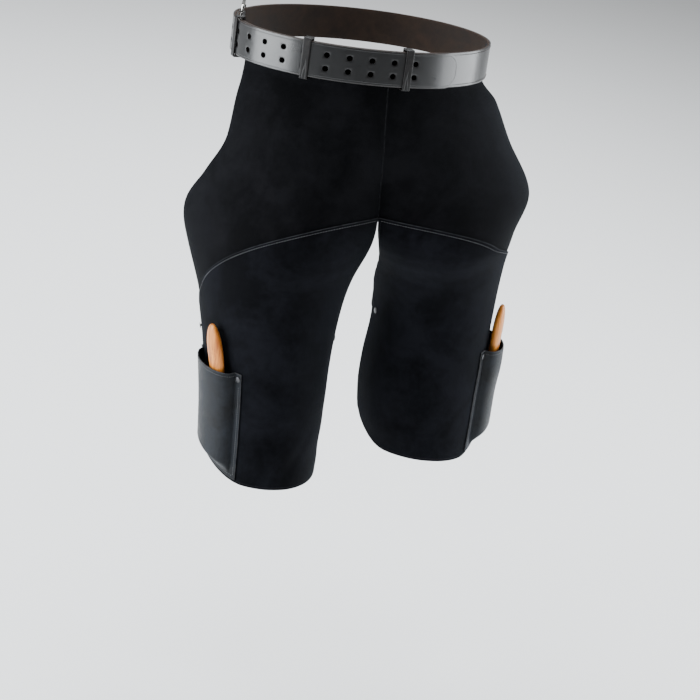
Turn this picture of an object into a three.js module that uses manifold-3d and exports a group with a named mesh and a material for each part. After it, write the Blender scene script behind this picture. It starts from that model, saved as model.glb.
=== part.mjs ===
// Split-leg leather work apron on a two-layer waist belt, with a knife pocket on each thigh.
// Millimetres, +Z up. The origin is the middle of the belt, at half its height; the front faces -Y
// and the wearer's right is -X. The apron keeps the form that it has when it is worn.
import * as THREE from "three";
import { mergeVertices } from "three/addons/utils/BufferGeometryUtils.js";
import Module from "manifold-3d";

const wasm = await Module();
wasm.setup();

// ---- Driving dimensions -------------------------------------------------------------------------
const waistHalfWidth = 177;
const waistHalfDepth = 143;
const beltHeight = 48;
const beltOuterPly = 2.2;
const beltLiningPly = 1.6;
const plyGap = 0.2;
const layerGap = 0.5;
const seatGap = 0.3;
const backGap = 0.8; // behind a leather panel, whose faces are slightly flatter than the form
const hidePanel = 2.2;
const hidePatch = 1.8;
const hidePocket = 1.8;
const holePitch = 29.4;
const holeRowSpacing = 18.5;
const holeRadius = 4;
const holePairs = 13;
const prongHole = 0; // the pair that the prongs stand in, counted from the buckle
const firstHoleAt = -322; // along the waist from the front centre, towards the wearer's right
const tipPastLastHole = 68;
const tipRound = 19;
const keeperWidth = 11;
const keeperLeather = 2;
const keeperPlaces = [-242, -114, 21];
const panelTop = 21;
const crotchDepth = 236;
const archTop = 212;
const archCurve = 2.3;
const pocketFront = 37; // degrees round the thigh from its front
const pocketRear = 99;
const pocketMouth = 21;
const pocketMargin = 0.1; // share of the width that lies flat at each side
const pocketLean = 0.62; // below 1, the fullest part of the pocket lies towards its front
const pocketRivetIn = 8;
const strapWidth = 25;
const strapThickness = 1.6;
const strapAbovePocket = 36;
const handleLength = 114;
const handleWidth = 30;
const handleThickness = 15;
const handleShown = 69;
const knifeClearance = -0.3; // the handle's lower end, beyond the outside of the flat leg patch
const bladeLength = 74;
const bladeWidth = 15;
const bladeThickness = 2;
const tangWidth = 12;
const tangLength = 42;
const curlRadius = 2.6;
const pinRadius = 2.5;
const pinHeights = [12, 31];
const rivetHeadRadius = 4.5;
const rivetHead = 1;
const rivetShank = 1.8;
const strapOverlap = 13; // degrees of the thigh that a strap end lies behind the leather
const buckleHalfAngle = 18;

// The worn form: at each height, one ellipse for each side of the body.
const levels = [-28, -60, -130, -190, -250, -310, -390, -470, -540, -600, -650];
const sides = {
  right: {
    sign: -1,
    centre: [0, 14, 41, 68, 88, 98, 95, 90, 87, 86, 85],
    halfWidth: [waistHalfWidth, 172, 152, 134, 126, 114, 98, 88, 85, 82, 81],
    forward: [0, 2, 8, 12, 15, 18, 20, 22, 24, 25, 25],
    outerEdge: [78, 74, 75, 86, 101, 104, 104, 104, 104, 104, 104],
    hem: 637,
    patchDrop: 194,
    hemRise: 30,
    cornerRise: 20,
    cornerShare: 0.09,
    partBy: -8,
    partOver: 110,
    pocketTop: 465,
    knifeAngle: 57,
    knifeTilt: 10,
    knifeLean: 3,
    bladeBow: 9,
  },
  left: {
    sign: 1,
    centre: [0, 21, 56, 103, 137, 149, 157, 157, 160, 167, 169],
    halfWidth: [waistHalfWidth, 181, 181, 166, 116, 97, 87, 94, 93, 83, 80],
    forward: [0, 2, 8, 12, 12, 10, 8, 4, 0, -4, -5],
    outerEdge: [78, 78, 84, 95, 104, 104, 104, 104, 104, 104, 104],
    hem: 600,
    patchDrop: 113,
    hemRise: 50,
    cornerRise: 62,
    cornerShare: 0.2,
    partBy: 34,
    partOver: 60,
    pocketTop: 424,
    knifeAngle: 55,
    knifeTilt: 2.6,
    knifeLean: 0,
    bladeBow: 1.5,
  },
};
const halfDepth = [waistHalfDepth, 147, 148, 143, 136, 128, 118, 110, 106, 104, 103];
const hipFlare = [0, 4, 10, 18, 18, 7, 0, 0, 0, 0, 0];
const seamForward = [waistHalfDepth, 147, 151, 146, 128, 105, 80, 80, 80, 80, 80];
const seamDrift = 16; // the centre seam leans this far to the wearer's left by the crotch
const innerEdge = -86;
const seamFade = 125; // below the crotch, how soon the inner edges curl back round the thighs

// ---- Small helpers ------------------------------------------------------------------------------
const radians = (degrees) => (degrees * Math.PI) / 180;
const mix = (a, b, t) => a + (b - a) * t;
const clamp = (t) => Math.min(1, Math.max(0, t));
const smooth = (t) => clamp(t) ** 2 * (3 - 2 * clamp(t));

/** A smooth curve through one value for each level, with no overshoot between them. */
function along(values, z) {
  const last = levels.length - 1;
  let i = 0;
  while (i < last - 1 && z < levels[i + 1]) i += 1;
  const step = (k) => (values[k + 1] - values[k]) / (levels[k + 1] - levels[k]);
  const slope = (k) => {
    if (k === 0) return 0;
    if (k === last) return step(last - 1);
    const [before, after] = [step(k - 1), step(k)];
    return before * after <= 0 ? 0 : (2 * before * after) / (before + after);
  };
  const width = levels[i + 1] - levels[i];
  const t = clamp((z - levels[i]) / width);
  const hold = values[i] * (1 + 2 * t) * (1 - t) ** 2 + values[i + 1] * t * t * (3 - 2 * t);
  return hold + width * (slope(i) * t * (1 - t) ** 2 - slope(i + 1) * t * t * (1 - t));
}

/** How far the centre seam lies from the middle plane, towards the wearer's left. */
const seamAt = (z) => seamDrift * Math.min(1, z / -crotchDepth) ** 2;

/** The angle of the panel's inner edge: the centre seam above the crotch, the inner thigh below it. */
function innerAngle(side, z) {
  const part = side.partBy * smooth((-crotchDepth - z) / side.partOver);
  const reach = side.sign * (seamAt(z) + part) + seatGap - along(side.centre, z);
  return Math.asin(Math.max(Math.sin(radians(innerEdge)), reach / along(side.halfWidth, z)));
}

/** A point of the worn form, `off` millimetres outside the inner face of the leather. */
function formPoint(side, angle, z, off) {
  const [centre, forward] = [along(side.centre, z), along(side.forward, z)];
  const flareShare = clamp((angle - radians(50)) / (radians(104) - radians(50))) ** 2;
  const across = along(side.halfWidth, z) + along(hipFlare, z) * flareShare;
  const deep = along(halfDepth, z);
  const inner = innerAngle(side, z);
  const outer = radians(along(side.outerEdge, z));
  const nearSeam = (1 - clamp((angle - inner) / (outer - inner))) ** 2;
  const fade = 1 - smooth((-crotchDepth - z) / seamFade);
  const edgeForward = forward + deep * Math.cos(inner);
  const bridge = (along(seamForward, z) - edgeForward) * fade * nearSeam;
  const normal = new THREE.Vector2(
    (Math.sin(angle) / across) * (1 - fade * nearSeam ** 2),
    -Math.cos(angle) / deep,
  ).normalize();
  return new THREE.Vector3(
    side.sign * (centre + across * Math.sin(angle) + normal.x * off),
    -forward - deep * Math.cos(angle) - bridge + normal.y * off,
    z,
  );
}

/** The lower edge of the leather: level, rounded at the inner corner, rising to the outer edge. */
function hemHeight(side, u) {
  const outerRise = side.hemRise * smooth((u - 0.6) / 0.4);
  const corner = 1 - clamp(u / side.cornerShare);
  const innerRise = side.cornerRise * (1 - Math.sqrt(1 - corner ** 2));
  return -side.hem + outerRise + innerRise;
}

/** The arched seam along the top of the leg patch. */
const archHeight = (side, u) => -archTop - side.patchDrop * u ** archCurve;

/** A closed sheet from a grid: `place(u, v, face)` gives the point on face 0 (inner) or 1 (outer). */
function sheetGeometry(columns, rows, place) {
  const positions = [];
  for (const face of [0, 1]) {
    for (let j = 0; j <= rows; j += 1) {
      for (let i = 0; i <= columns; i += 1) positions.push(...place(i / columns, j / rows, face));
    }
  }
  const perFace = (columns + 1) * (rows + 1);
  const at = (i, j, face) => face * perFace + j * (columns + 1) + i;
  const indices = [];
  const quad = (a, b, c, d) => indices.push(a, b, c, a, c, d);
  for (let j = 0; j < rows; j += 1) {
    for (let i = 0; i < columns; i += 1) {
      quad(at(i, j, 1), at(i, j + 1, 1), at(i + 1, j + 1, 1), at(i + 1, j, 1));
      quad(at(i, j, 0), at(i + 1, j, 0), at(i + 1, j + 1, 0), at(i, j + 1, 0));
    }
    quad(at(0, j, 0), at(0, j + 1, 0), at(0, j + 1, 1), at(0, j, 1));
    quad(at(columns, j, 0), at(columns, j, 1), at(columns, j + 1, 1), at(columns, j + 1, 0));
  }
  for (let i = 0; i < columns; i += 1) {
    quad(at(i, 0, 0), at(i, 0, 1), at(i + 1, 0, 1), at(i + 1, 0, 0));
    quad(at(i, rows, 0), at(i + 1, rows, 0), at(i + 1, rows, 1), at(i, rows, 1));
  }
  const geometry = new THREE.BufferGeometry();
  geometry.setAttribute("position", new THREE.Float32BufferAttribute(positions, 3));
  geometry.setIndex(indices);
  return facingOut(geometry);
}

/** The same surface with its faces pointing out. */
function facingOut(geometry) {
  const p = geometry.getAttribute("position");
  const index = geometry.getIndex().array;
  const [a, b, c] = [new THREE.Vector3(), new THREE.Vector3(), new THREE.Vector3()];
  let volume = 0;
  for (let i = 0; i < index.length; i += 3) {
    a.fromBufferAttribute(p, index[i]);
    b.fromBufferAttribute(p, index[i + 1]);
    c.fromBufferAttribute(p, index[i + 2]);
    volume += a.dot(b.cross(c));
  }
  if (volume < 0) {
    for (let i = 0; i < index.length; i += 3) {
      [index[i], index[i + 1]] = [index[i + 1], index[i]];
    }
  }
  return geometry;
}

/** A solid for cutting and joining. */
function solid(geometry) {
  const bare = geometry.clone();
  bare.deleteAttribute("normal");
  bare.deleteAttribute("uv");
  const merged = mergeVertices(bare, 1e-4);
  return new wasm.Manifold(
    new wasm.Mesh({
      numProp: 3,
      vertProperties: new Float32Array(merged.getAttribute("position").array),
      triVerts: new Uint32Array(merged.getIndex().array),
    }),
  );
}

/** Geometry of a solid. */
function geometryOf(body) {
  const mesh = body.getMesh();
  const geometry = new THREE.BufferGeometry();
  geometry.setAttribute("position", new THREE.Float32BufferAttribute(mesh.vertProperties, 3));
  geometry.setIndex([...mesh.triVerts]);
  return geometry;
}

/** A geometry with pieces cut away. */
function cut(geometry, tools) {
  return geometryOf(tools.reduce((body, tool) => body.subtract(solid(tool)), solid(geometry)));
}

/** Several geometries as one body. */
function joined(geometries) {
  return geometryOf(geometries.map(solid).reduce((body, next) => body.add(next)));
}

/** A box centred on a point. */
function block(x, y, z, at = [0, 0, 0]) {
  return new THREE.BoxGeometry(x, y, z).translate(...at);
}

/** A round bar along X, Y or Z, centred on a point. */
function bar(radius, length, axis = "z", at = [0, 0, 0], sectors = 12) {
  const rod = new THREE.CylinderGeometry(radius, radius, length, sectors);
  if (axis === "x") rod.rotateZ(Math.PI / 2);
  if (axis === "z") rod.rotateX(Math.PI / 2);
  return rod.translate(...at);
}

/** A ring about Z, centred on the origin. */
function ring(innerRadius, outerRadius, length, sectors = 20) {
  const profile = [
    new THREE.Vector2(innerRadius, -length / 2),
    new THREE.Vector2(outerRadius, -length / 2),
    new THREE.Vector2(outerRadius, length / 2),
    new THREE.Vector2(innerRadius, length / 2),
    new THREE.Vector2(innerRadius, -length / 2),
  ];
  return new THREE.LatheGeometry(profile, sectors).rotateX(Math.PI / 2);
}

/** A turned piece about Y, from its radius and height at each corner. */
function latheAlongY(corners, sectors = 10) {
  const [first, last] = [corners[0], corners[corners.length - 1]];
  const profile = [[0, first[1]], ...corners, [0, last[1]]];
  return new THREE.LatheGeometry(profile.map(([r, y]) => new THREE.Vector2(r, y)), sectors);
}

/** An upright band of one thickness along a level path. */
function band(path, thickness, height) {
  const left = [];
  const right = [];
  path.forEach((point, i) => {
    const before = path[Math.max(0, i - 1)];
    const after = path[Math.min(path.length - 1, i + 1)];
    const across = after.clone().sub(before).normalize().multiplyScalar(thickness / 2);
    left.push(new THREE.Vector2(point.x - across.y, point.y + across.x));
    right.unshift(new THREE.Vector2(point.x + across.y, point.y - across.x));
  });
  const outline = new THREE.Shape([...left, ...right]);
  const geometry = new THREE.ExtrudeGeometry(outline, { depth: height, bevelEnabled: false });
  return geometry.translate(0, 0, -height / 2);
}

const apron = new THREE.Group();

/** Adds one named piece to the apron. */
function piece(name, geometry, finish, placement) {
  const mesh = new THREE.Mesh(geometry, new THREE.MeshStandardMaterial({ ...finish }));
  mesh.name = name;
  if (placement) mesh.applyMatrix4(placement);
  apron.add(mesh);
  return mesh;
}

// ---- Finishes -----------------------------------------------------------------------------------
const suede = { color: 0x15161a, roughness: 0.95, metalness: 0 };
const patchSuede = { color: 0x121419, roughness: 0.95, metalness: 0 };
const smoothLeather = { color: 0x1f2226, roughness: 0.45, metalness: 0 };
const beltLeather = { color: 0x0d0d0e, roughness: 0.28, metalness: 0 };
const liningLeather = { color: 0x2a1d16, roughness: 0.8, metalness: 0 };
const nickel = { color: 0xb9b9b6, roughness: 0.25, metalness: 1 };
const darkSteel = { color: 0x2b2b2d, roughness: 0.4, metalness: 1 };
const bladeSteel = { color: 0xa9adb0, roughness: 0.3, metalness: 1 };
const wood = { color: 0xc8742c, roughness: 0.45, metalness: 0 };
const brass = { color: 0xb08a45, roughness: 0.35, metalness: 1 };
const webbing = { color: 0x101012, roughness: 0.9, metalness: 0 };
const blackPlastic = { color: 0x131315, roughness: 0.5, metalness: 0 };

// ---- Leather panels -----------------------------------------------------------------------------
const panelColumns = 20;
const panelRows = 22;
const beltRows = 2; // rows of the panel that lie behind the belt
const cutterSpare = 8;
const patchFirstRow = 7; // the patch shares the panel's rows from here down

/** The panel's angle at a share `u` of its width, at one height. */
function panelAngle(side, u, z) {
  return mix(innerAngle(side, z), radians(along(side.outerEdge, z)), u);
}

/** The height of one of the panel's rows: level behind the belt, then spread down to the hem. */
function rowHeight(side, u, row) {
  if (row <= beltRows) return mix(panelTop, levels[0], row / beltRows);
  return mix(levels[0], hemHeight(side, u), (row - beltRows) / (panelRows - beltRows));
}

/** Leather laid on the form from one of the panel's rows down to the hem. */
function laidLeather(side, firstRow, offset, thickness) {
  return sheetGeometry(panelColumns, panelRows - firstRow, (u, v, face) => {
    const z = rowHeight(side, u, mix(firstRow, panelRows, v));
    return formPoint(side, panelAngle(side, u, z), z, offset + face * thickness);
  });
}

const patchOffset = hidePanel + layerGap;
const pocketOffset = patchOffset + hidePatch + layerGap;
const beltInnerFace = hidePanel + layerGap;
const beltThickness = beltLiningPly + plyGap + beltOuterPly;
const billetRise = beltThickness + layerGap;

// ---- Waist line: places along the belt ----------------------------------------------------------
const waistSteps = 1440;
const waistTable = [0];
for (let i = 1; i <= waistSteps; i += 1) {
  const middle = ((i - 0.5) / waistSteps) * 2 * Math.PI;
  const stretch = Math.hypot(waistHalfWidth * Math.cos(middle), waistHalfDepth * Math.sin(middle));
  waistTable.push(waistTable[i - 1] + (stretch * 2 * Math.PI) / waistSteps);
}
const waistLength = waistTable[waistSteps];

/** The point and outward direction at a distance round the waist from the front centre. */
function waistPoint(distance, off) {
  const wrapped = ((distance % waistLength) + waistLength) % waistLength;
  let i = 1;
  while (waistTable[i] < wrapped) i += 1;
  const share = (wrapped - waistTable[i - 1]) / (waistTable[i] - waistTable[i - 1]);
  const angle = ((i - 1 + share) / waistSteps) * 2 * Math.PI;
  const out = new THREE.Vector2(
    Math.sin(angle) / waistHalfWidth,
    -Math.cos(angle) / waistHalfDepth,
  ).normalize();
  const point = new THREE.Vector2(
    waistHalfWidth * Math.sin(angle) + out.x * off,
    -waistHalfDepth * Math.cos(angle) + out.y * off,
  );
  return { point, out };
}

/** A frame on the belt: X runs round the waist to the wearer's right, Y points out, Z up. */
function beltFrame(distance, off) {
  const { point, out } = waistPoint(distance, off);
  const yAxis = new THREE.Vector3(out.x, out.y, 0);
  const zAxis = new THREE.Vector3(0, 0, 1);
  const xAxis = new THREE.Vector3().crossVectors(yAxis, zAxis);
  return new THREE.Matrix4()
    .makeBasis(xAxis, yAxis, zAxis)
    .setPosition(point.x, point.y, 0);
}

// ---- Belt and buckle sizes ----------------------------------------------------------------------
const heelBarRadius = 2.4;
const rollerBarRadius = 2.2;
const rollerRadius = 3.6;
const frameDepth = 50; // heel bar to roller bar
const prongThickness = 3.2;
const prongReach = 18; // from the heel bar to where the prong comes through the strap
const heelAt = firstHoleAt + prongHole * holePitch + prongReach;
const foldRadius = heelBarRadius + seatGap + beltOuterPly / 2;
const outerPlyLine = beltInnerFace + beltLiningPly + plyGap + beltOuterPly / 2;
const heelBarOff = outerPlyLine - foldRadius;
const rollerOff = beltInnerFace + beltThickness + seatGap + rollerRadius;
const foldTail = 42;
const foldRivetRadius = 2.4;
const rivetPlaces = [20, 34].flatMap((reach) => [-1, 1].map((row) => [reach, row * 14]));
const frameHeight = beltHeight + 14;
const lastHoleAt = firstHoleAt + (holePairs - 1) * holePitch;
const beltTipAt = lastHoleAt + tipPastLastHole;
const strapStart = heelAt + 9;
const rampStart = heelAt - frameDepth + 12;
const rampEnd = heelAt - 7;

/** How far the second turn of the strap stands outside the first one. */
function riseAt(distance) {
  return billetRise * smooth((distance - waistLength - rampStart) / (rampEnd - rampStart));
}

/** The strap's path from `start` to the tip, along one ply. */
function strapPath(start, line) {
  const end = waistLength + beltTipAt;
  const steps = Math.round((end - start) / 16);
  const path = [];
  for (let i = 0; i <= steps; i += 1) {
    const distance = mix(start, end, i / steps);
    path.push(waistPoint(distance, line + riseAt(distance)).point);
  }
  return path;
}

/** The outer ply's turned-back end: a tail under the strap and a half turn round the heel bar. */
function heelFold() {
  const tailOff = beltInnerFace - seatGap - beltOuterPly / 2;
  const bottomOff = heelBarOff - foldRadius;
  const fold = [];
  for (const share of [0, 0.3, 0.6, 0.75, 0.88]) {
    const off = mix(tailOff, bottomOff, smooth((share - 0.6) / 0.4));
    fold.push(waistPoint(heelAt + foldTail * (1 - share), off).point);
  }
  for (let i = 0; i <= 8; i += 1) {
    const turn = Math.PI * (i / 8);
    const off = heelBarOff - foldRadius * Math.cos(turn);
    fold.push(waistPoint(heelAt - foldRadius * Math.sin(turn), off).point);
  }
  return fold;
}

/** Punches for the pairs of holes, and the shape that rounds the tip. */
function beltPunches() {
  const punches = [];
  for (let k = 0; k < holePairs; k += 1) {
    const distance = firstHoleAt + k * holePitch;
    const off = beltInnerFace + beltThickness / 2 + riseAt(distance + waistLength);
    for (const row of [-1, 1]) {
      const punch = bar(holeRadius, 9.4, "y", [0, 0, (row * holeRowSpacing) / 2], 8);
      punches.push(punch.applyMatrix4(beltFrame(distance, off)));
    }
  }
  return punches;
}

/** Solids that take the corners off the tip, above and below its rounded point. */
function tipCorners() {
  const innerFace = beltInnerFace + billetRise - layerGap / 2;
  const outerFace = beltInnerFace + billetRise + beltThickness + 1;
  const edge = beltHeight / 2;
  return [1, -1].map((half) =>
    sheetGeometry(14, 1, (u, v, face) => {
      const distance = beltTipAt - tipRound + u * (tipRound + 4);
      const share = clamp((beltTipAt - distance) / tipRound);
      const outline = edge * (1 - (1 - share) ** 2.2) ** 0.6;
      const { point } = waistPoint(distance, face ? outerFace : innerFace);
      return [point.x, point.y, half * mix(outline, edge + 4, v)];
    }),
  );
}

/** Slots that let both prongs pass through the fold at the heel bar. */
function prongSlots() {
  return [-1, 1].map((row) => {
    const slot = block(22, 12, prongThickness + 1.4, [4, 0, (row * holeRowSpacing) / 2]);
    return slot.applyMatrix4(beltFrame(heelAt, heelBarOff));
  });
}

function buildBelt() {
  const holeTop = outerPlyLine + beltOuterPly / 2 + layerGap / 2 - heelBarOff;
  const rivetHoles = rivetPlaces.map(([reach, row]) => {
    const hole = bar(foldRivetRadius + seatGap, 12, "y", [0, holeTop - 6, row], 8);
    return hole.applyMatrix4(beltFrame(heelAt + reach, heelBarOff));
  });
  const corners = tipCorners();
  const cuts = [...beltPunches(), ...corners, ...rivetHoles];
  const outerPath = [...heelFold(), ...strapPath(strapStart, outerPlyLine)];
  const outer = band(outerPath, beltOuterPly, beltHeight);
  piece("belt_outer", cut(outer, [...cuts, ...prongSlots()]), beltLeather);
  const liningLine = beltInnerFace + beltLiningPly / 2;
  const lining = band(strapPath(strapStart, liningLine), beltLiningPly, beltHeight);
  piece("belt_lining", cut(lining, cuts), liningLeather);
}

buildBelt();

/** A leather keeper: a flat ring round the belt and, in front, the top of the leather. */
function keeper(name, distance, backFace) {
  const front = beltInnerFace + billetRise + beltThickness + seatGap;
  const inside = { depth: front - backFace, height: beltHeight + 5 };
  const outside = {
    depth: inside.depth + 2 * keeperLeather,
    height: inside.height + 2 * keeperLeather,
  };
  const loop = cut(block(keeperWidth, outside.depth, outside.height), [
    block(keeperWidth + 2, inside.depth, inside.height),
  ]);
  piece(name, loop, beltLeather, beltFrame(distance, (front + backFace) / 2));
}

const keeperNames = ["keeper_right_hip", "keeper_right_front", "keeper_left_front"];
keeperPlaces.forEach((distance, i) => {
  keeper(keeperNames[i], distance, i === 0 ? beltInnerFace - layerGap : -backGap);
});

/** The buckle: a wire frame, a roller, and two prongs that turn on the heel bar. */
function buildBuckle() {
  const frame = beltFrame(heelAt, heelBarOff);
  const lift = rollerOff - heelBarOff;
  const half = frameHeight / 2;
  const sideBar = (row) => {
    const length = Math.hypot(frameDepth, lift);
    const rod = bar(heelBarRadius, length, "x", [0, 0, 0]);
    rod.rotateZ(Math.atan2(lift, frameDepth));
    return rod.translate(frameDepth / 2, lift / 2, row * half);
  };
  const corners = [
    [0, 0],
    [frameDepth, lift],
  ].flatMap(([x, y]) =>
    [-1, 1].map((row) =>
      new THREE.SphereGeometry(heelBarRadius, 10, 6).translate(x, y, row * half),
    ),
  );
  const heelBar = bar(heelBarRadius, frameHeight, "z");
  const rollerBar = bar(rollerBarRadius, frameHeight, "z", [frameDepth, lift, 0]);
  const wire = joined([heelBar, rollerBar, sideBar(1), sideBar(-1), ...corners]);
  piece("buckle_frame", wire, nickel, frame);

  const roller = ring(rollerBarRadius + 0.25, rollerRadius, beltHeight);
  roller.translate(frameDepth, lift, 0);
  piece("buckle_roller", roller, nickel, frame);

  const top = lift + rollerRadius + seatGap + prongThickness / 2;
  const path = [
    [3, -0.5],
    [12, -1.8],
    [prongReach - 1, -1.4],
    [prongReach + 0.6, 1.2],
    [prongReach + 1.2, 6],
    [prongReach + 3, top - 2.6],
    [prongReach + 10, top - 0.4],
    [frameDepth, top],
    [frameDepth + 5, top - 0.6],
  ].map(([x, y]) => new THREE.Vector2(x, y));
  for (const [name, row] of [["buckle_prong_upper", 1], ["buckle_prong_lower", -1]]) {
    const eye = ring(heelBarRadius + 0.25, heelBarRadius + 1.95, prongThickness);
    const arm = band(path, prongThickness - 0.6, prongThickness);
    const prong = joined([eye, arm]).translate(0, 0, (row * holeRowSpacing) / 2);
    piece(name, prong, nickel, frame);
  }

  const rivetInner = beltInnerFace - 2 * seatGap - beltOuterPly - 0.2 - heelBarOff;
  const rivetOuter = outerPlyLine + beltOuterPly / 2 - 0.1 - heelBarOff;
  rivetPlaces.forEach(([reach, row], i) => {
    const rivet = latheAlongY([
      [rivetHeadRadius, rivetInner - rivetHead],
      [rivetHeadRadius, rivetInner],
      [foldRivetRadius, rivetInner],
      [foldRivetRadius, rivetOuter],
    ]);
    const place = beltFrame(heelAt + reach, heelBarOff);
    piece(`belt_rivet_${i + 1}`, rivet.translate(0, 0, row), darkSteel, place);
  });
}

buildBuckle();

// ---- Apron body ---------------------------------------------------------------------------------
/** The slit in a panel that a keeper passes through, under the belt. */
function keeperSlit(distance) {
  const height = keeperLeather + 1;
  const slit = block(keeperWidth + 1.4, 16, height, [0, 0, -(beltHeight + 5 + keeperLeather) / 2]);
  return slit.applyMatrix4(beltFrame(distance, 0));
}

/** A frame on the leather: Y is square to it, Z runs up it. */
function leatherFrame(side, angle, z) {
  const [turn, rise] = [radians(3), 6];
  const level = formPoint(side, angle + turn, z, 0).sub(formPoint(side, angle - turn, z, 0));
  const zAxis = formPoint(side, angle, z + rise, 0).sub(formPoint(side, angle, z - rise, 0));
  zAxis.normalize();
  const yAxis = new THREE.Vector3().crossVectors(level, zAxis).normalize();
  yAxis.multiplyScalar(side.sign);
  const xAxis = new THREE.Vector3().crossVectors(yAxis, zAxis);
  return new THREE.Matrix4()
    .makeBasis(xAxis, yAxis, zAxis)
    .setPosition(formPoint(side, angle, z, 0));
}

/** Where each strap is riveted to the leather, and each pocket corner to the leather below it. */
function strapRivetAngle(side, end) {
  const edge = end === "outer" ? along(side.outerEdge, strapHeight(side)) : innerEdge;
  return radians(edge + (end === "outer" ? -1 : 1) * (strapOverlap / 2 + 1));
}

const strapHeight = (side) => strapAbovePocket - side.pocketTop;

function pocketRivetPlaces(side) {
  return [pocketMargin / 2, 1 - pocketMargin / 2].map((across) => ({
    angle: radians(mix(pocketFront, pocketRear, across)),
    z: pocketRim(side, across) - pocketRivetIn,
  }));
}

/** The height of the pocket's upper edge: it rises a little towards the back. */
const pocketRim = (side, across) => -side.pocketTop + 4 * across;

const rivetHole = (frame) => bar(rivetShank + seatGap, 14, "y", [0, 0, 0], 10).applyMatrix4(frame);

/** What is cut from a leg patch: all that lies above its arched seam. */
function aboveArch(side) {
  return sheetGeometry(24, 8, (share, v, face) => {
    const u = mix(-0.05, 1.05, share);
    const z = mix(crotchDepth * -0.5, archHeight(side, Math.max(0, u)), v);
    const off = face ? patchOffset + hidePatch + cutterSpare : -cutterSpare;
    return formPoint(side, panelAngle(side, u, z), z, off);
  });
}

function buildPanels() {
  const slits = keeperPlaces.slice(1).map(keeperSlit);
  for (const [name, side] of Object.entries(sides)) {
    const leather = laidLeather(side, 0, 0, hidePanel);
    const strapHoles = ["outer", "inner"].map((end) =>
      rivetHole(leatherFrame(side, strapRivetAngle(side, end), strapHeight(side))),
    );
    const pocketHoles = pocketRivetPlaces(side).map(({ angle, z }) =>
      rivetHole(leatherFrame(side, angle, z)),
    );
    piece(`front_panel_${name}`, cut(leather, [...slits, ...strapHoles, ...pocketHoles]), suede);
    const cover = laidLeather(side, patchFirstRow, patchOffset, hidePatch);
    const patch = cut(cover, [aboveArch(side), ...strapHoles, ...pocketHoles]);
    piece(`leg_patch_${name}`, patch, patchSuede);
  }
}

buildPanels();

/** The tape behind the centre seam, from the belt to the crotch. */
function buildSeamTape() {
  const tapeShare = 0.05;
  const tapeThickness = 1.2;
  const tape = sheetGeometry(2, 16, (t, v, face) => {
    const z = mix(panelTop - 3, -crotchDepth + 16, v);
    const side = t < 0.5 ? sides.right : sides.left;
    const u = tapeShare * Math.abs(2 * t - 1);
    const off = (face - 1) * tapeThickness - 1.2 * backGap;
    const point = formPoint(side, panelAngle(side, u, z), z, off);
    return t === 0.5 ? [seamAt(z), point.y, z] : point;
  });
  piece("centre_seam_tape", tape, smoothLeather);
}

buildSeamTape();

// ---- Knife pockets ------------------------------------------------------------------------------
/** How far the pocket's leather stands off the patch, at a share of its width and its height. */
function pocketStandOff(across, down) {
  const inside = clamp((across - pocketMargin) / (1 - 2 * pocketMargin));
  const belly = Math.sin(Math.PI * inside ** pocketLean) ** 0.6;
  const closing = (1 - 0.18 * smooth(down / 0.6)) * (1 - smooth((down - 0.85) / 0.13));
  return pocketMouth * belly * closing;
}

function buildPocket(name, side) {
  const foot = (across) => {
    const angle = radians(mix(pocketFront, pocketRear, across));
    const inner = innerAngle(side, -side.pocketTop);
    const u = (angle - inner) / (radians(along(side.outerEdge, -side.pocketTop)) - inner);
    return hemHeight(side, clamp(u)) + 5;
  };
  const pocket = sheetGeometry(20, 10, (across, down, face) => {
    const z = mix(pocketRim(side, across), foot(across), down);
    const angle = radians(mix(pocketFront, pocketRear, across));
    const off = pocketOffset + pocketStandOff(across, down) + face * hidePocket;
    return formPoint(side, angle, z, off);
  });
  const rivets = pocketRivetPlaces(side);
  const holes = rivets.map(({ angle, z }) => rivetHole(leatherFrame(side, angle, z)));
  piece(`knife_pocket_${name}`, cut(pocket, holes), smoothLeather);
  rivets.forEach(({ angle, z }, i) => {
    const outside = pocketOffset + hidePocket + layerGap;
    const rivet = latheAlongY([
      [rivetHeadRadius, -1.5 * backGap - rivetHead],
      [rivetHeadRadius, -1.5 * backGap],
      [rivetShank, -1.5 * backGap],
      [rivetShank, outside],
      [rivetHeadRadius, outside],
      [rivetHeadRadius * 0.7, outside + rivetHead],
    ]);
    const place = ["front", "rear"][i];
    piece(`pocket_rivet_${place}_${name}`, rivet, darkSteel, leatherFrame(side, angle, z));
  });
}

for (const [name, side] of Object.entries(sides)) buildPocket(name, side);

// ---- Knives -------------------------------------------------------------------------------------
/** The frame of a knife: Z runs up its length, Y points out from the thigh, X across its width. */
function knifeFrame(side) {
  const angle = radians(side.knifeAngle);
  const foot = -side.pocketTop + handleShown - handleLength;
  const standOff = pocketOffset + handleHalfDepth(0) + knifeClearance;
  const base = formPoint(side, angle, foot, standOff);
  const out = formPoint(side, angle, foot, standOff + 10).sub(base).normalize();
  const along = new THREE.Vector3(-out.y, out.x, 0).multiplyScalar(side.sign);
  const zAxis = new THREE.Vector3(0, 0, 1)
    .addScaledVector(out, Math.tan(radians(side.knifeTilt)))
    .addScaledVector(along, Math.tan(radians(side.knifeLean)))
    .normalize();
  const xAxis = new THREE.Vector3().crossVectors(out, zAxis).normalize();
  const yAxis = new THREE.Vector3().crossVectors(zAxis, xAxis);
  return new THREE.Matrix4().makeBasis(xAxis, yAxis, zAxis).setPosition(base);
}

/** The handle's half thickness at a share of its length. */
const handleHalfDepth = (t) => (handleThickness / 2) * (0.8 + 0.2 * smooth(t / 0.4));

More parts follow.
